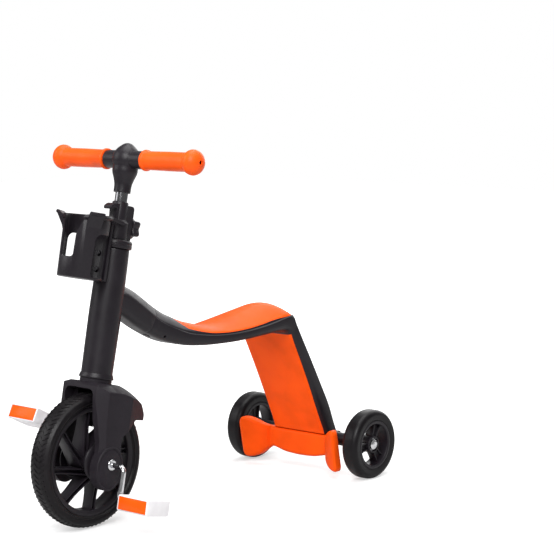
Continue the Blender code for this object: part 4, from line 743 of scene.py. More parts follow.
class ClampSizes(bpy.types.PropertyGroup):
    """The clamp collar and the star knob."""

    collar: length("Collar radius", 0.0165, "Of the lower part of the collar")
    throat: length("Throat radius", 0.0122, "Of the upper part of the collar")
    knob: length("Knob radius", 0.0172, "To the tips of the knob's lobes")
    lobes: number("Lobes", 5, "Lobes round the knob")
    lobe_depth: length("Lobe depth", 0.005, "From the tips of the lobes to the dips between them")


class SCOOTER_OT_clamp(bpy.types.Operator):
    """Makes the clamp collar, its bag hook, the star knob and the ring under them"""

    bl_idname = "scooter.clamp"
    bl_label = "Clamp"

    def execute(self, context):
        sizes = context.scene.scooter_clamp
        low, high = COLLAR_ENDS
        line = [(0.001, low), *beyond(sizes.collar, COLLAR_FOOT), *beyond(sizes.throat, COLLAR_THROAT)]
        collar = lathe([*line, (0.001, high)], STEERING, 96)
        block = extrude(rounded(COLLAR_BLOCK), -0.0108, 0.0108, "X", STEERING)
        hook = extrude(rounded(BAG_HOOK), -0.0085, 0.0085, "X", STEERING)
        carve(collar, "UNION", soften(block, 0.0012, 3), soften(hook, 0.0008, 2))
        carve(collar, "DIFFERENCE", lathe(COLLAR_HOLE, STEERING, 64))
        soften(collar, 0.0006, 2, 45)
        ready(collar, "clamp_collar_skin", "charcoal", "fork", "clamp_collar")
        star = self.star(sizes)
        rings = []
        for share, depth in KNOB_LAYERS:
            rings.append([(u * share, KNOB_BACK + depth, KNOB_HEIGHT + v * share) for u, v in star])
        ready(loft(rings, STEERING), "clamp_knob_skin", "charcoal", "knob", "clamp_knob")
        ready(lathe(HEADSET_RING, STEERING, 112), "headset_ring_skin", "charcoal", "fork", "headset_ring")
        return {"FINISHED"}

    def star(self, sizes):
        """The outline round the knob's lobes, turned so that none stands straight up."""
        points = []
        for step in range(120):
            angle = math.tau * step / 120
            radius = sizes.knob - sizes.lobe_depth * ((1 - math.cos(sizes.lobes * angle)) / 2) ** 0.8
            angle -= math.radians(18)
            points.append((radius * math.sin(angle), radius * math.cos(angle)))
        return points


# Sections of the neck and seat: the distance behind the front axle, and the heights of top and underside.
SEAT_EDGES = (
    (0.040, 0.360, 0.3300),
    (0.060, 0.356, 0.3165),
    (0.080, 0.349, 0.3035),
    (0.100, 0.336, 0.2905),
    (0.120, 0.322, 0.2790),
    (0.140, 0.308, 0.2690),
    (0.160, 0.296, 0.2612),
    (0.180, 0.2870, 0.2555),
    (0.200, 0.2790, 0.2515),
    (0.220, 0.2745, 0.2497),
    (0.240, 0.2712, 0.2492),
    (0.260, 0.2698, 0.2495),
    (0.280, 0.2698, 0.2500),
    (0.310, 0.2718, 0.2515),
    (0.340, 0.2750, 0.2530),
    (0.370, 0.2790, 0.2540),
)
# Where seat turns into leg: the outer point, the crown there, and the inner point.
SEAT_CORNER = (
    (0.3950, 0.2828, 0.0138, 0.3880, 0.2535),
    (0.4080, 0.2830, 0.0102, 0.3970, 0.2520),
    (0.4170, 0.2770, 0.0060, 0.4040, 0.2485),
    (0.4220, 0.2670, 0.0035, 0.4090, 0.2425),
)
# Down the leg: the outer point and the inner point.
LEG_EDGES = (
    (0.4330, 0.2460, 0.4165, 0.2290),
    (0.4600, 0.1998, 0.4350, 0.1912),
    (0.4860, 0.1535, 0.4560, 0.1470),
    (0.5050, 0.1190, 0.4740, 0.1090),
    (0.5190, 0.0850, 0.4870, 0.0800),
    (0.5262, 0.0688, 0.4908, 0.0688),
)


class FrameSizes(bpy.types.PropertyGroup):
    """Neck, seat and leg."""

    neck: length("Neck half width", 0.021, "Half the width of the neck")
    seat: length("Seat half width", 0.058, "Half the width of the seat")
    corner: length("Corner", 0.008, "Radius along the upper edges")
    rail: length("Rail", 0.0035, "Black edge beside the leg's panel")
    ledge: length("Ledge", 0.0028, "How far the shell stands out beside the seat")


def frame_stations(sizes):
    """Outer point and inner point as (y, z), half width and crown, closely along neck, seat and leg."""
    stations = []
    for y, top, low in SEAT_EDGES:
        half = sizes.neck + (sizes.seat - sizes.neck) * smooth_step(y, 0.13, 0.33)
        crown = 0.004 + 0.0065 * smooth_step(y, 0.06, 0.11) - 0.0045 * smooth_step(y, 0.19, 0.27)
        crown += 0.008 * smooth_step(y, 0.25, 0.37)
        stations.append((y, top, y, low, half, crown))
    for y, z, crown, inner_y, inner_z in SEAT_CORNER:
        stations.append((y, z, inner_y, inner_z, sizes.seat, crown))
    for y, z, inner_y, inner_z in LEG_EDGES:
        stations.append((y, z, inner_y, inner_z, sizes.seat + 0.001, 0.003))
    return stations


def crown_end(half, corner, crown):
    """Where the curved top runs into the round corner: the angle there and the reach from the middle."""
    low, high = 0.2, math.pi / 2
    for _ in range(24):
        angle = (low + high) / 2
        reach = half - corner + corner * math.cos(angle)
        rise = reach / math.tan(angle) / 2 - corner * (1 - math.sin(angle))
        low, high = (angle, high) if rise > crown else (low, angle)
    return angle, reach


def frame_rings(sizes, stations, ledge=0.0, inset=0.0):
    """Closed sections with round corners and a crowned top; a ledge runs along the sides of the seat."""
    rings = []
    for y, z, inner_y, inner_z, half, crown in stations:
        inner = Vector((inner_y, inner_z))
        outer = Vector((y, z))
        thick = (outer - inner).length
        up = (outer - inner) / thick
        half -= inset
        slim = (sizes.seat - half) / (sizes.seat - sizes.neck)
        corner = min(sizes.corner * (1 + 0.7 * slim), thick * 0.35)
        lower = min(sizes.corner * 1.5, thick * 0.4)
        out = ledge * smooth_step(y, 0.165, 0.2) * (1 - smooth_step(y, 0.395, 0.412))
        out = max(out, 0.0001) if ledge else 0.0
        middle = half - out - corner
        angle, reach = crown_end(half - out, corner, crown)
        fall = crown + corner * (1 - math.sin(angle))
        right = [(reach * step / 12, thick + crown - fall * (step / 12) ** 2) for step in range(1, 12)]
        right += arc((middle, thick - corner), corner, math.degrees(angle), 15 if ledge else 0, 8)
        if ledge:
            right += arc((half - out, thick - corner * 0.78 - out), out, 90, 0, 4)
        right += arc((half - lower, lower), lower, 0, -90, 8)
        left = [(-x, height) for x, height in reversed(right)]
        section = [(0, thick + crown), *right, (0, 0), *left]
        rings.append([(x, *(inner + up * height)) for x, height in section])
    return rings


class SCOOTER_OT_frame(bpy.types.Operator):
    """Makes the black shell of neck, seat and leg, and the orange panels let into it"""

    bl_idname = "scooter.frame"
    bl_label = "Frame"

    def execute(self, context):
        sizes = context.scene.scooter_frame
        stations = smooth_line(frame_stations(sizes)[3:], 4)
        shell = loft(frame_rings(sizes, stations, sizes.ledge), FLOOR)
        carve(shell, "INTERSECT", bar(0.4, PARTING + PARTING_GAP, 0.9, "Z", FLIP, 24))
        carve(shell, "DIFFERENCE", self.seat_region(0.0), self.leg_region(sizes, 0.0, 0.0))
        hole = FLOOR @ Matrix.Translation((0, 0.15, 0.2715))
        carve(shell, "DIFFERENCE", bar(0.0022, 0.0, 0.1, "X", hole, 32))
        soften(shell, 0.0008, 2, 40)
        ready(shell, "frame_shell_skin", "charcoal", "frame", "frame_shell")
        seat = loft(frame_rings(sizes, stations, 0.0, sizes.ledge), FLOOR)
        carve(seat, "INTERSECT", self.seat_region(0.0003))
        soften(seat, 0.0009, 3, 40)
        ready(seat, "seat_panel_skin", "orange", "frame", "seat_panel")
        panel = loft(frame_rings(sizes, stations), FLOOR)
        carve(panel, "INTERSECT", self.leg_region(sizes, 0.0003, 0.0003))
        soften(panel, 0.0008, 3, 40)
        ready(panel, "leg_panel_skin", "orange", "frame", "leg_panel")
        return {"FINISHED"}

    def seat_region(self, lift):
        """The space over the seat's parting line, which rises to a point on the neck."""
        tip, first, sunk, sky, aside = 0.181, 0.198, 0.0033, 0.42, 0.09
        line = []
        for y, top, low in SEAT_EDGES:
            if y >= first:
                line.append((y, top - sunk * smooth_step(y, 0.18, 0.24) + lift))
        line = smooth_line([*line, (0.404, 0.278 + lift), (0.42, 0.279 + lift)], 4)
        outline = [(tip, sky), (tip, line[0][1] + 0.016), *line, (line[-1][0], sky)]
        return extrude(outline, -aside, aside, "X", FLOOR)

    def leg_region(self, sizes, inset, back):
        """The space in front of the leg that its panel fills."""
        top, low = Vector(LEG_EDGES[0][2:]), Vector(LEG_EDGES[-1][2:])
        along = (low - top).normalized()
        inward = Vector((-along.y, along.x))
        start, stop = top - along * 0.02, low + along * 0.03
        depth, front = inward * (0.004 - back), inward * 0.03
        corners = [start - front, start + depth, stop + depth, stop - front]
        half = sizes.seat - sizes.rail - inset
        return extrude([tuple(point) for point in corners], -half, half, "X", FLOOR)


COLUMN_ENDS = (0.1223, 0.318)
COLUMN_FLANGE = ((-0.001, 0.1223), (-0.0002, 0.1228), (0, 0.1238), (-0.0003, 0.1252))
COLUMN_TOP = ((-0.0003, 0.3175), (-0.001, 0.318))


class ColumnSizes(bpy.types.PropertyGroup):
    """The head tube and the stub of the neck."""

    foot: length("Foot radius", 0.0262, "Of the flange over the fork")
    low: length("Lower radius", 0.0238, "Over the flange")
    middle: length("Middle radius", 0.0245, "Half way up")
    top: length("Upper radius", 0.0229, "Under the ring")


class SCOOTER_OT_column(bpy.types.Operator):
    """Makes the head tube with the stub of the neck moulded on it"""

    bl_idname = "scooter.column"
    bl_label = "Column"

    def execute(self, context):
        sizes = context.scene.scooter_column
        frame_sizes = context.scene.scooter_frame
        start, end = COLUMN_ENDS
        curve = beyond(sizes.foot, ((-0.0006, 0.1263),)) + beyond(sizes.low, ((0.0006, 0.13), (0, 0.1345)))
        curve += [(sizes.middle, 0.22), (sizes.top + 0.0006, 0.295), (sizes.top, 0.3165)]
        line = [(0, start), *beyond(sizes.foot, COLUMN_FLANGE), *smooth_line(curve, 6)]
        line += beyond(sizes.top, COLUMN_TOP)
        column = lathe([*line, (0, end)], STEERING, 112)
        stub = loft(frame_rings(frame_sizes, smooth_line(frame_stations(frame_sizes)[:9], 4)), FLOOR)
        carve(stub, "INTERSECT", bar(0.1, -0.2, PARTING - PARTING_GAP, "Z", FLIP, 24))
        carve(column, "UNION", stub)
        soften(column, 0.0009, 2, 40)
        ready(column, "column_skin", "charcoal", "column", "column")
        return {"FINISHED"}


CUP_SIDE = (
    (-0.0032, 0.265), (-0.0016, 0.2656), (-0.001, 0.267), (0, 0.3542), (-0.001, 0.3547),
    (-0.001, 0.3561),
)
CUP_RIM = (
    (-0.0012, 0.3564), (-0.0002, 0.3574), (0.0002, 0.359), (-0.0003, 0.3606), (-0.0014, 0.362),
    (-0.0028, 0.3628),
)
WINDOW_TOP = ((0.025, 0.359, 0.006), (0.025, 0.387, 0))
OPENING_BACK = ((-0.0335, 0.2684, 0.002), (-0.0335, 0.332, 0.004))
CUP_INSIDE = ((0.0008, 0.363), (0, 0.3622), (-0.001, 0.268), (-0.002, 0.2674))


class CupSizes(bpy.types.PropertyGroup):
    """The cup holder."""

    radius: length("Radius", 0.0345, "Outside of the cup")
    wall: length("Wall", 0.0024, "Thickness of the cup's side")
    rim: length("Rim", 0.003, "How far the rim stands out")
    window: length("Window", 0.0125, "Half the width of the front window")
    slope: ratio("Rim slope", 0.085, "How fast the rim drops towards the front")


class SCOOTER_OT_cup(bpy.types.Operator):
    """Makes the cup holder with its windows, lips and the arms that clip round the collar"""

    bl_idname = "scooter.cup"
    bl_label = "Cup holder"

    def execute(self, context):
        sizes = context.scene.scooter_cup
        place = STEERING @ Matrix.Translation((0, -0.062, 0))
        cup = self.bowl(sizes, place)
        half = sizes.window
        window = [(half, 0.2945, 0.005), (half + 0.001, 0.3285, 0.02), *WINDOW_TOP]
        carve(cup, "DIFFERENCE", extrude(rounded(both(window)), -0.05, -0.012, "Y", place))
        for sign, start in ((-1, -0.0665), (1, -0.072)):
            opening = [(start, 0.2684, 0.005), *OPENING_BACK, (start, 0.332, 0.012)]
            low, high = sorted((sign * 0.01, sign * 0.05))
            carve(cup, "DIFFERENCE", extrude(rounded(opening), low, high, "X", STEERING))
        back, face = -0.0266, -0.0311
        plate = box((-0.02, 0.02), (face, back), (0.266, 0.353), STEERING)
        saddle = box((-0.014, 0.014), (back - 0.001, -0.012), (0.271, 0.3165), STEERING)
        carve(cup, "UNION", soften(plate, 0.001, 2), saddle)
        root = back - 0.01
        tip = ((-0.006, 0.3525, 0.002), (-0.004, 0.3575, 0.002))
        arm = rounded([(root, 0.357, 0), *tip, (root, 0.3622, 0)])
        for low, high in ((0.0175, 0.0205), (-0.0205, -0.0175)):
            carve(cup, "UNION", soften(extrude(arm, low, high, "X", STEERING), 0.0005, 2))
        lip = self.lip(sizes)
        for degrees in (65, -65):
            carve(cup, "UNION", extrude(lip, -0.011, 0.011, "X", place @ turned(degrees, "Z")))
        carve(cup, "DIFFERENCE", bar(0.0248, 0.2, 0.3313, "Z", STEERING, 112))
        soften(cup, 0.0004, 2, 45)
        ready(cup, "cup_holder_skin", "charcoal", "column", "cup_holder")
        return {"FINISHED"}

    def bowl(self, sizes, place):
        """The round cup, whose rim drops towards the front."""
        line = beyond(sizes.radius, CUP_SIDE) + beyond(sizes.radius + sizes.rim, CUP_RIM)
        line += beyond(sizes.radius - sizes.wall, CUP_INSIDE)
        bowl = lathe([(0, line[0][1]), *line, (0, line[-1][1])], Matrix(), 144)
        for vert in bowl.data.vertices:
            drop = sizes.slope * (vert.co.y - sizes.radius)
            vert.co.z += drop * smooth_step(vert.co.z, 0.34, 0.354)
        bowl.data.transform(place)
        return bowl

    def lip(self, sizes):
        """Side view of a lip that hangs over the rim."""
        inner, outer = sizes.radius - sizes.wall + 0.0005, sizes.radius
        lip = [(inner, -0.334, 0), (outer + 0.0006, -0.341, 0.008), (outer + 0.0095, -0.356, 0.003)]
        lip += [(outer + 0.0128, -0.3585, 0.0026), (outer + 0.0102, -0.3632, 0.0026), (inner, -0.354, 0.006)]
        return [(-radius, -height) for radius, height in rounded(lip)]


FORK_SIDE_TOP = ((-0.031, 0.1115), (-0.024, 0.1165), (0.0224, 0.1165))
FORK_SIDE_FRONT = ((-0.0195, 0.03), (-0.0245, 0.06), (-0.031, 0.095))
FORK_BLADE = ((0.0538, 0.01), (0.0503, 0.06), (0.0495, 0.1))
FORK_PLAN = (
    (0.0355, -0.031, 0.006), (0.056, -0.008, 0.016), (0.056, 0.02, 0.02), (0.0265, 0.088, 0.012),
)
FORK_HOOD = ((-0.03, 0.06, 0), (0.03, 0.06, 0), (0.03, 0.107, 0.01), (-0.03, 0.107, 0.01))
FORK_DOME = ((0.1196, 0.022), (0.1496, 0.022), (0.1496, 0.0523), (0.104, 0.0523))
BLADE_DEPTH = 0.0195
PAD_CENTRE = -0.006
PAD_LEVELS = (
    (0, 0), (0, 0.0145), (0.0008, 0.0155), (0.0034, 0.0155), (0.004, 0.0147), (0.0048, 0.0147),
    (0.0056, 0.0153),
)


class ForkSizes(bpy.types.PropertyGroup):
    """The fork with its hood and mudguard tail."""

    offset: length("Offset", 0.0034, "Of the front axle behind the steering axis")
    outer: length("Blade outside", 0.054, "From the middle to the outside of a blade's foot")
    inner: length("Blade inside", 0.0385, "From the middle to the inside of a blade's foot")
    well: length("Well", 0.106, "Radius of the space round the tyre")
    edge: length("Edge", 0.0022, "Rounding of the outer edges")


class SCOOTER_OT_fork(bpy.types.Operator):
    """Makes the fork with its hood, tail and oval pads"""

    bl_idname = "scooter.fork"
    bl_label = "Fork"

    def execute(self, context):
        sizes = context.scene.scooter_fork
        fork = self.blank(sizes)
        middle = STEERING @ Matrix.Translation((0, sizes.offset, 0))
        for sign in (1, -1):
            dome = lathe([(radius, sign * across) for radius, across in FORK_DOME], middle @ ALONG_X, 144)
            carve(dome, "INTERSECT", box((-0.08, 0.08), (0, 0.15), (0, 0.2), STEERING))
            carve(fork, "DIFFERENCE", dome)
        soften(fork, sizes.edge, 4, 20)
        for sign in (1, -1):
            carve(fork, "UNION", self.pad(sizes, sign))
        carve(fork, "UNION", bar(0.024, 0.1065, 0.122, "Z", STEERING, 96))
        well = bar(sizes.well, -0.0225, 0.0225, "X", middle, 160)
        hollow = bar(sizes.well - 0.008, -0.0215, 0.0215, "X", middle, 160)
        gap = both([(sizes.inner, -0.06), (sizes.inner, 0.012), (0.031, 0.06), (0.0225, 0.09)])
        gap = extrude(gap, -0.06, 0.0295, "Y", STEERING)
        hood = extrude(rounded(FORK_HOOD), -0.06, -0.012, "Y", STEERING)
        carve(fork, "DIFFERENCE", well, hollow, gap, hood)
        carve(fork, "DIFFERENCE", bar(0.0073, -0.08, 0.08, "X", middle, 64))
        soften(fork, 0.0005, 2, 45)
        ready(fork, "fork_skin", "charcoal", "fork", "fork", material="matt charcoal")
        return {"FINISHED"}

    def blank(self, sizes):
        """The solid that the side, front and plan outlines share."""
        side = list(FORK_SIDE_TOP)
        for step in range(13):
            angle = math.radians(79 - 40 * step / 12)
            radius = 0.1184 - 0.009 * step / 12
            side.append((sizes.offset + radius * math.cos(angle), radius * math.sin(angle)))
        side += [(0.084, 0.068), *arc((0.056, 0.06), 0.008, 90, 140, 6), (BLADE_DEPTH, 0.04)]
        side += [(BLADE_DEPTH, PAD_CENTRE), (-BLADE_DEPTH, PAD_CENTRE), *smooth_line(FORK_SIDE_FRONT, 6)]
        fork = extrude(side, -0.06, 0.06, "X", STEERING)
        half = [(sizes.outer, -0.045), (sizes.outer, PAD_CENTRE), *smooth_line(FORK_BLADE, 6)]
        half += [*arc((0.0445, 0.1025), 0.005, 0, 65, 6), (0.027, 0.117), (0.024, 0.126)]
        carve(fork, "INTERSECT", extrude(both(half), -0.06, 0.12, "Y", STEERING))
        carve(fork, "INTERSECT", extrude(rounded(both(FORK_PLAN)), -0.06, 0.142, "Z", STEERING))
        return fork

    def pad(self, sizes, sign):
        """The oval round the axle, with a raised border."""
        half_depth, half_height = 0.027, 0.033
        rings = []
        for inset, depth in PAD_LEVELS:
            ring = []
            for step in range(96):
                angle = math.tau * step / 96
                back = sizes.offset / 2 + (half_depth - inset) * math.cos(angle)
                height = PAD_CENTRE + (half_height - inset) * math.sin(angle)
                ring.append((sign * (sizes.inner + depth), back, height))
            rings.append(ring)
        return loft(rings, STEERING)


WASHER = (
    (AXLE_HOLE, 0.0543), (0.008, 0.0543), (0.008, 0.0552), (0.0076, 0.0557), (0.0062, 0.056),
    (AXLE_HOLE, 0.056),
)


class CrankSizes(bpy.types.PropertyGroup):
    """Crank rods, washers and pedals."""

    rod: length("Rod radius", 0.004, "Of the bent crank rod")
    throw: length("Throw", 0.048, "From the wheel's axis to the pedal's")
    pedal: length("Pedal length", 0.06, "Along its axis")
    width: length("Pedal width", 0.047, "Front to back")
    thickness: length("Pedal thickness", 0.023, "Top to bottom")
    lean: slant("Crank lean", -12.4, "Turn of the left crank from straight down")
    near_tilt: slant("Left pedal tilt", 11.0, "Slope of the left pedal")
    far_tilt: slant("Right pedal tilt", 27.0, "Slope of the right pedal")


class SCOOTER_OT_cranks(bpy.types.Operator):
    """Makes the bent cranks, their washers, the pedals and the reflectors"""

    bl_idname = "scooter.cranks"
    bl_label = "Cranks and pedals"

    def execute(self, context):
        sizes = context.scene.scooter_cranks
        for side, sign in SIDES:
            half_turn = 180 if sign < 0 else 0
            crank = FRONT_AXLE @ Matrix.Rotation(sizes.lean, 4, "X") @ turned(half_turn, "X")
            rod = loft(self.rod(sizes, sign), crank)
            ready(rod, "crank_rod_" + side, "chrome", "front_wheel", "crank_" + side)
            washer = lathe(WASHER, FRONT_AXLE @ turned(sign * 90, "Y"), 64)
            ready(washer, "washer_" + side, "chrome", "front_wheel", "crank_washer_" + side)
            down = crank.to_quaternion() @ Vector((0, 0, -sizes.throw))
            tilt = sizes.near_tilt if sign > 0 else sizes.far_tilt
            place = Matrix.Translation(FRONT_AXLE.translation + down) @ Matrix.Rotation(-tilt, 4, "X")
            self.pedal(sizes, side, place @ turned(half_turn, "Z"))
        return {"FINISHED"}

    def rod(self, sizes, sign):
        """Rings of the rod from the hub out, down the arm and out through the pedal."""
        bend, plane = 0.009, 0.08
        path = [(0.004, 0.0), (0.04, 0.0)]
        quarter = [math.pi / 2 * step / 12 for step in range(13)]
        path += [(plane - bend + bend * math.sin(a), bend - bend * math.cos(a)) for a in quarter]
        low = sizes.throw - bend
        path += [(plane + bend - bend * math.cos(a), low + bend * math.sin(a)) for a in quarter]
        path.append((PEDAL_START + sizes.pedal - 0.0043, sizes.throw))
        rings = []
        for index, (out, drop) in enumerate(path):
            before, after = Vector(path[max(index - 1, 0)]), Vector(path[min(index + 1, len(path) - 1)])
            along = (after - before).normalized()
            ring = []
            for step in range(32):
                angle = math.tau * step / 32
                aside = sizes.rod * math.cos(angle)
                x, z = out - along.y * aside, -drop - along.x * aside
                ring.append((sign * x, sizes.rod * math.sin(angle), z))
            rings.append(ring)
        return rings

    def pedal(self, sizes, side, place):
        body = "pedal_" + side
        half, high = sizes.width / 2, sizes.thickness / 2
        start, end = PEDAL_START, PEDAL_START + sizes.pedal
        edge, frame_width, lens_gap, slot_end, slot_half = 0.003, 0.0018, 0.0003, 0.006, 0.0008
        corners = [(-half, -high, edge), (half, -high, edge), (half, high, edge), (-half, high, edge)]
        block = soften(extrude(rounded(corners), start, end, "X", place), 0.0012, 3, 40)
        inside, upright = (start + frame_width, end - frame_width), (-high + frame_width, high - frame_width)
        for sign in (1, -1):
            pocket = sorted((sign * (half - edge), sign * (half + 0.005)))
            carve(block, "DIFFERENCE", box(inside, pocket, upright, place))
        for level in (1, -1):
            height = sorted((level * (high - 0.0006), level * (high + 0.002)))
            for step in range(5):
                across = -half * 0.62 + half * 1.24 * step / 4
                slot = (across - slot_half, across + slot_half)
                carve(block, "DIFFERENCE", box((start + slot_end, end - slot_end), slot, height, place))
        ready(block, "pedal_block_" + side, "white", body, "pedal_" + side)
        inside, upright = [(low + lens_gap, top - lens_gap) for low, top in (inside, upright)]
        for name, sign in (("front", -1), ("rear", 1)):
            depth = sorted((sign * (half - 0.0027), sign * (half - 0.0004)))
            lens = soften(box(inside, depth, upright, place), 0.0005, 2, 40)
            label = side + "_" + name
            ready(lens, "reflector_lens_" + label, "reflector", body, "reflector_" + label)


# Right half of the rear cover: x, front and back edge, lower and upper edge, how far the bottom leans back.
COVER_STATIONS = (
    (0.0000, 0.4900, 0.5080, 0.0250, 0.0670, 0),
    (0.0300, 0.4905, 0.5080, 0.0265, 0.0670, 0),
    (0.0580, 0.4910, 0.5080, 0.0320, 0.0670, 0),
    (0.0640, 0.4830, 0.5000, 0.0300, 0.0685, 0.0010),
    (0.0710, 0.4740, 0.4920, 0.0230, 0.0720, 0.0030),
    (0.0800, 0.4660, 0.4850, 0.0165, 0.0780, 0.0060),
    (0.0900, 0.4590, 0.4780, 0.0135, 0.0830, 0.0090),
    (0.0985, 0.4545, 0.4710, 0.0140, 0.0840, 0.0110),
    (0.1025, 0.4550, 0.4680, 0.0195, 0.0790, 0.0110),
)

BEAM_OUTLINE = (
    (-0.0127, -0.013, 0.004), (0.013, -0.013, 0.006), (0.013, 0.0111, 0.003), (-0.0127, 0.0111, 0.002),
)
AXLE_END = ((0, 0.0133), (0.003, 0.0133), (0.0036, 0.0127), (0.0044, 0.0127), (0.005, 0.0133))
NUT_EDGE = ((-0.0025, 0.0131), (-0.0016, 0.0121), (-0.001, 0.0118), (-0.0001, 0.0109), (0, 0.0073))
NUT_INSIDE = ((AXLE_HOLE, 0.0073), (AXLE_HOLE, 0.0118), (0, 0.0118))


class AxleSizes(bpy.types.PropertyGroup):
    """The beam under the leg, its cover and the axle nuts."""

    beam: length("Beam half length", 0.058, "Half the width of the beam")
    boss: length("Boss radius", 0.011, "Of the round ends that carry the axle")
    reach: length("Boss end", 0.11, "From the middle to the end of a boss")
    nut: length("Nut radius", 0.0085, "Of the nut on each end of the axle")


class SCOOTER_OT_rear_axle(bpy.types.Operator):
    """Makes the beam that carries the rear axle, its orange cover and the axle nuts"""

    bl_idname = "scooter.rear_axle"
    bl_label = "Rear axle"

    def execute(self, context):
        sizes = context.scene.scooter_axle
        centre = (REAR_WHEELS["left"].translation + REAR_WHEELS["right"].translation) / 2
        axle = Matrix.Translation(centre)
        beam = extrude(rounded(BEAM_OUTLINE), -sizes.beam, sizes.beam, "X", axle)
        beam = soften(beam, 0.0012, 3, 40)
        boss = [(0, -sizes.reach), (sizes.boss - 0.001, -sizes.reach), (sizes.boss, -sizes.reach + 0.001)]
        carve(beam, "UNION", lathe(both_faces(boss), axle @ ALONG_X, 72))
        carve(beam, "DIFFERENCE", bar(AXLE_HOLE, -0.2, 0.2, "X", axle, 48))
        ready(beam, "rear_beam_skin", "charcoal", "frame", "rear_axle_beam")
        right = [self.ring(*station) for station in smooth_line(COVER_STATIONS, 5)]
        rings = [[(-x, y, z) for x, y, z in ring] for ring in reversed(right[1:])] + right
        cover = soften(loft(rings, FLOOR), 0.001, 3, 50)
        ready(cover, "rear_cover_skin", "orange", "frame", "rear_cover")
        nut = [*AXLE_END, *beyond(sizes.nut, NUT_EDGE), *NUT_INSIDE]
        for side, sign in SIDES:
            piece = lathe(nut, REAR_WHEELS[side] @ turned(sign * 90, "Y"), 72)
            ready(piece, "nut_skin_" + side, "chrome", "frame", "axle_nut_" + side)
        return {"FINISHED"}

    def ring(self, x, front, back, low, high, lean):
        """One closed section of the cover: a rounded oblong whose bottom leans back."""
        radius = min(0.006, (high - low) * 0.3, (back - front) * 0.45)
        outline = [(front, low, radius), (back, low, radius * 0.5)]
        outline += [(back, high, radius * 0.5), (front, high, radius)]
        return [(x, y + lean * (high - z) / (high - low), z) for y, z in rounded(outline)]


LAMPS = (
    ("key_lamp", (1.5, -2.1, 2.3), 1.8, 101.0),
    ("fill_lamp", (-2.0, -2.0, 1.8), 1.8, 30.0),
    ("back_lamp", (-0.5, 2.0, 1.4), 2.2, 32.0),
    ("top_lamp", (0.0, 0.2, 2.6), 1.8, 44.0),
)
LAMP_TARGET = Vector((0, -0.04, 0.25))
CAMERA_PLACE = (1.926, -2.03745, 0.69)
CAMERA_SHIFT = (0.061, 0.093)
CAMERA_ROLL = -0.44


class StageSettings(bpy.types.PropertyGroup):
    """The floor, the lights and the camera."""

    floor: colour("Floor", (0.6, 0.6, 0.6), "Plain pale floor")
    lift: ratio("Lift", 0.5, "White added to the floor as the camera sees it")
    azimuth: slant("Azimuth", 41.83, "Camera's turn round the scooter")
    elevation: slant("Elevation", 8.5, "Camera's slope downward")
    sky: ratio("Sky", 0.27, "Strength of the even light from all round")
    lens: ratio("Lens", 116.97, "Focal length in millimetres")


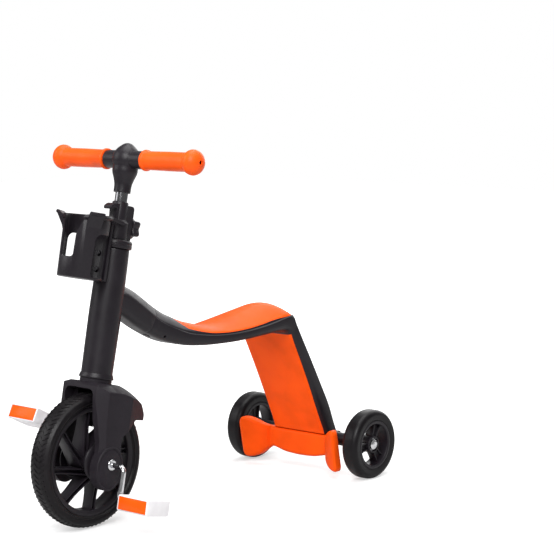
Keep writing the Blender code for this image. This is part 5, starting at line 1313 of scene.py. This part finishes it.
class SCOOTER_OT_stage(bpy.types.Operator):
    """Makes the floor, the studio lights and the camera"""

    bl_idname = "scooter.stage"
    bl_label = "Stage"

    def execute(self, context):
        settings = context.scene.scooter_stage
        self.floor(settings)
        for name, place, size, power in LAMPS:
            light = bpy.data.lights.new(name, "AREA")
            light.size = size
            light.energy = power
            lamp = bpy.data.objects.new(name, light)
            context.scene.collection.objects.link(lamp)
            lamp.location = place
            lamp.rotation_euler = (LAMP_TARGET - lamp.location).to_track_quat("-Z", "Y").to_euler()
        self.world(context, settings)
        self.camera(context, settings)
        context.scene.view_settings.view_transform = "Standard"
        return {"FINISHED"}

    def floor(self, settings):
        """A floor that takes light and shadows, and fades to white away from the scooter."""
        floor = box((-6, 6), (-6, 6), (-0.05, 0))
        floor.name = "studio_floor"
        shop = MaterialShop("studio floor")
        path = shop.node("ShaderNodeLightPath")
        reach = shop.node("ShaderNodeVectorMath", {"operation": "LENGTH"}, (shop.place(),), 1)
        glowing = shop.ramp(reach, 0.45, 1.3, settings.lift, 1.0)
        lit = shop.node("ShaderNodeBsdfDiffuse", {}, {"Color": (*settings.floor, 1)})
        glow = shop.node("ShaderNodeEmission", {}, {"Color": (1, 1, 1, 1), "Strength": glowing})
        bright = shop.node("ShaderNodeAddShader", {}, (lit, glow))
        shop.finish(shop.node("ShaderNodeMixShader", {}, (path, lit, bright)), "ShaderNodeOutputMaterial")
        floor.data.materials.append(shop.material)

    def world(self, context, settings):
        """Even light from all round, seen by the camera as plain white."""
        world = bpy.data.worlds.new("studio_world")
        context.scene.world = world
        world.use_nodes = True
        nodes, links = world.node_tree.nodes, world.node_tree.links
        dim = nodes["Background"]
        white = nodes.new("ShaderNodeBackground")
        for shader in (dim, white):
            shader.inputs["Color"].default_value = (1, 1, 1, 1)
        dim.inputs["Strength"].default_value = settings.sky
        path = nodes.new("ShaderNodeLightPath")
        mixed = nodes.new("ShaderNodeMixShader")
        for index, output in enumerate((path.outputs["Is Camera Ray"], dim.outputs[0], white.outputs[0])):
            links.new(output, mixed.inputs[index])
        links.new(mixed.outputs[0], nodes["World Output"].inputs["Surface"])

    def camera(self, context, settings):
        lens = bpy.data.cameras.new("camera")
        lens.lens = settings.lens
        lens.sensor_width = 36.0
        lens.shift_x, lens.shift_y = CAMERA_SHIFT
        camera = bpy.data.objects.new("camera", lens)
        context.scene.collection.objects.link(camera)
        a, e, roll = settings.azimuth, settings.elevation, math.radians(CAMERA_ROLL)
        back = Vector((math.sin(a) * math.cos(e), -math.cos(a) * math.cos(e), math.sin(e)))
        right = Vector((math.cos(a), math.sin(a), 0))
        up = back.cross(right)
        tilted = right * math.cos(roll) + up * math.sin(roll)
        axes = Matrix((tilted, back.cross(tilted), back)).transposed().to_4x4()
        camera.matrix_world = Matrix.Translation(CAMERA_PLACE) @ axes
        context.scene.camera = camera


class SCOOTER_PT_panel(bpy.types.Panel):
    """Lists the scooter's operators"""

    bl_idname = "SCOOTER_PT_panel"
    bl_label = "Convertible Scooter"
    bl_space_type = "VIEW_3D"
    bl_region_type = "UI"
    bl_category = "Scooter"

    def draw(self, context):
        for operator in OPERATORS:
            self.layout.operator(operator.bl_idname)


OPERATORS = (
    SCOOTER_OT_materials,
    SCOOTER_OT_front_wheel,
    SCOOTER_OT_rear_wheels,
    SCOOTER_OT_handlebar,
    SCOOTER_OT_clamp,
    SCOOTER_OT_frame,
    SCOOTER_OT_column,
    SCOOTER_OT_cup,
    SCOOTER_OT_fork,
    SCOOTER_OT_cranks,
    SCOOTER_OT_rear_axle,
    SCOOTER_OT_stage,
)
SETTINGS = {
    "scooter_colours": ScooterColours,
    "scooter_front_wheel": FrontWheelSizes,
    "scooter_rear_wheels": RearWheelSizes,
    "scooter_handlebar": HandlebarSizes,
    "scooter_clamp": ClampSizes,
    "scooter_frame": FrameSizes,
    "scooter_column": ColumnSizes,
    "scooter_cup": CupSizes,
    "scooter_fork": ForkSizes,
    "scooter_cranks": CrankSizes,
    "scooter_axle": AxleSizes,
    "scooter_stage": StageSettings,
}


def register():
    for item in (*SETTINGS.values(), *OPERATORS, SCOOTER_PT_panel):
        bpy.utils.register_class(item)
    for name, group in SETTINGS.items():
        setattr(bpy.types.Scene, name, PointerProperty(type=group))


def unregister():
    for name in SETTINGS:
        delattr(bpy.types.Scene, name)
    for item in reversed((*SETTINGS.values(), *OPERATORS, SCOOTER_PT_panel)):
        bpy.utils.unregister_class(item)


def main():
    register()
    for operator in OPERATORS:
        getattr(bpy.ops.scooter, operator.bl_idname.split(".")[1])()


if __name__ == "__main__":
    main()
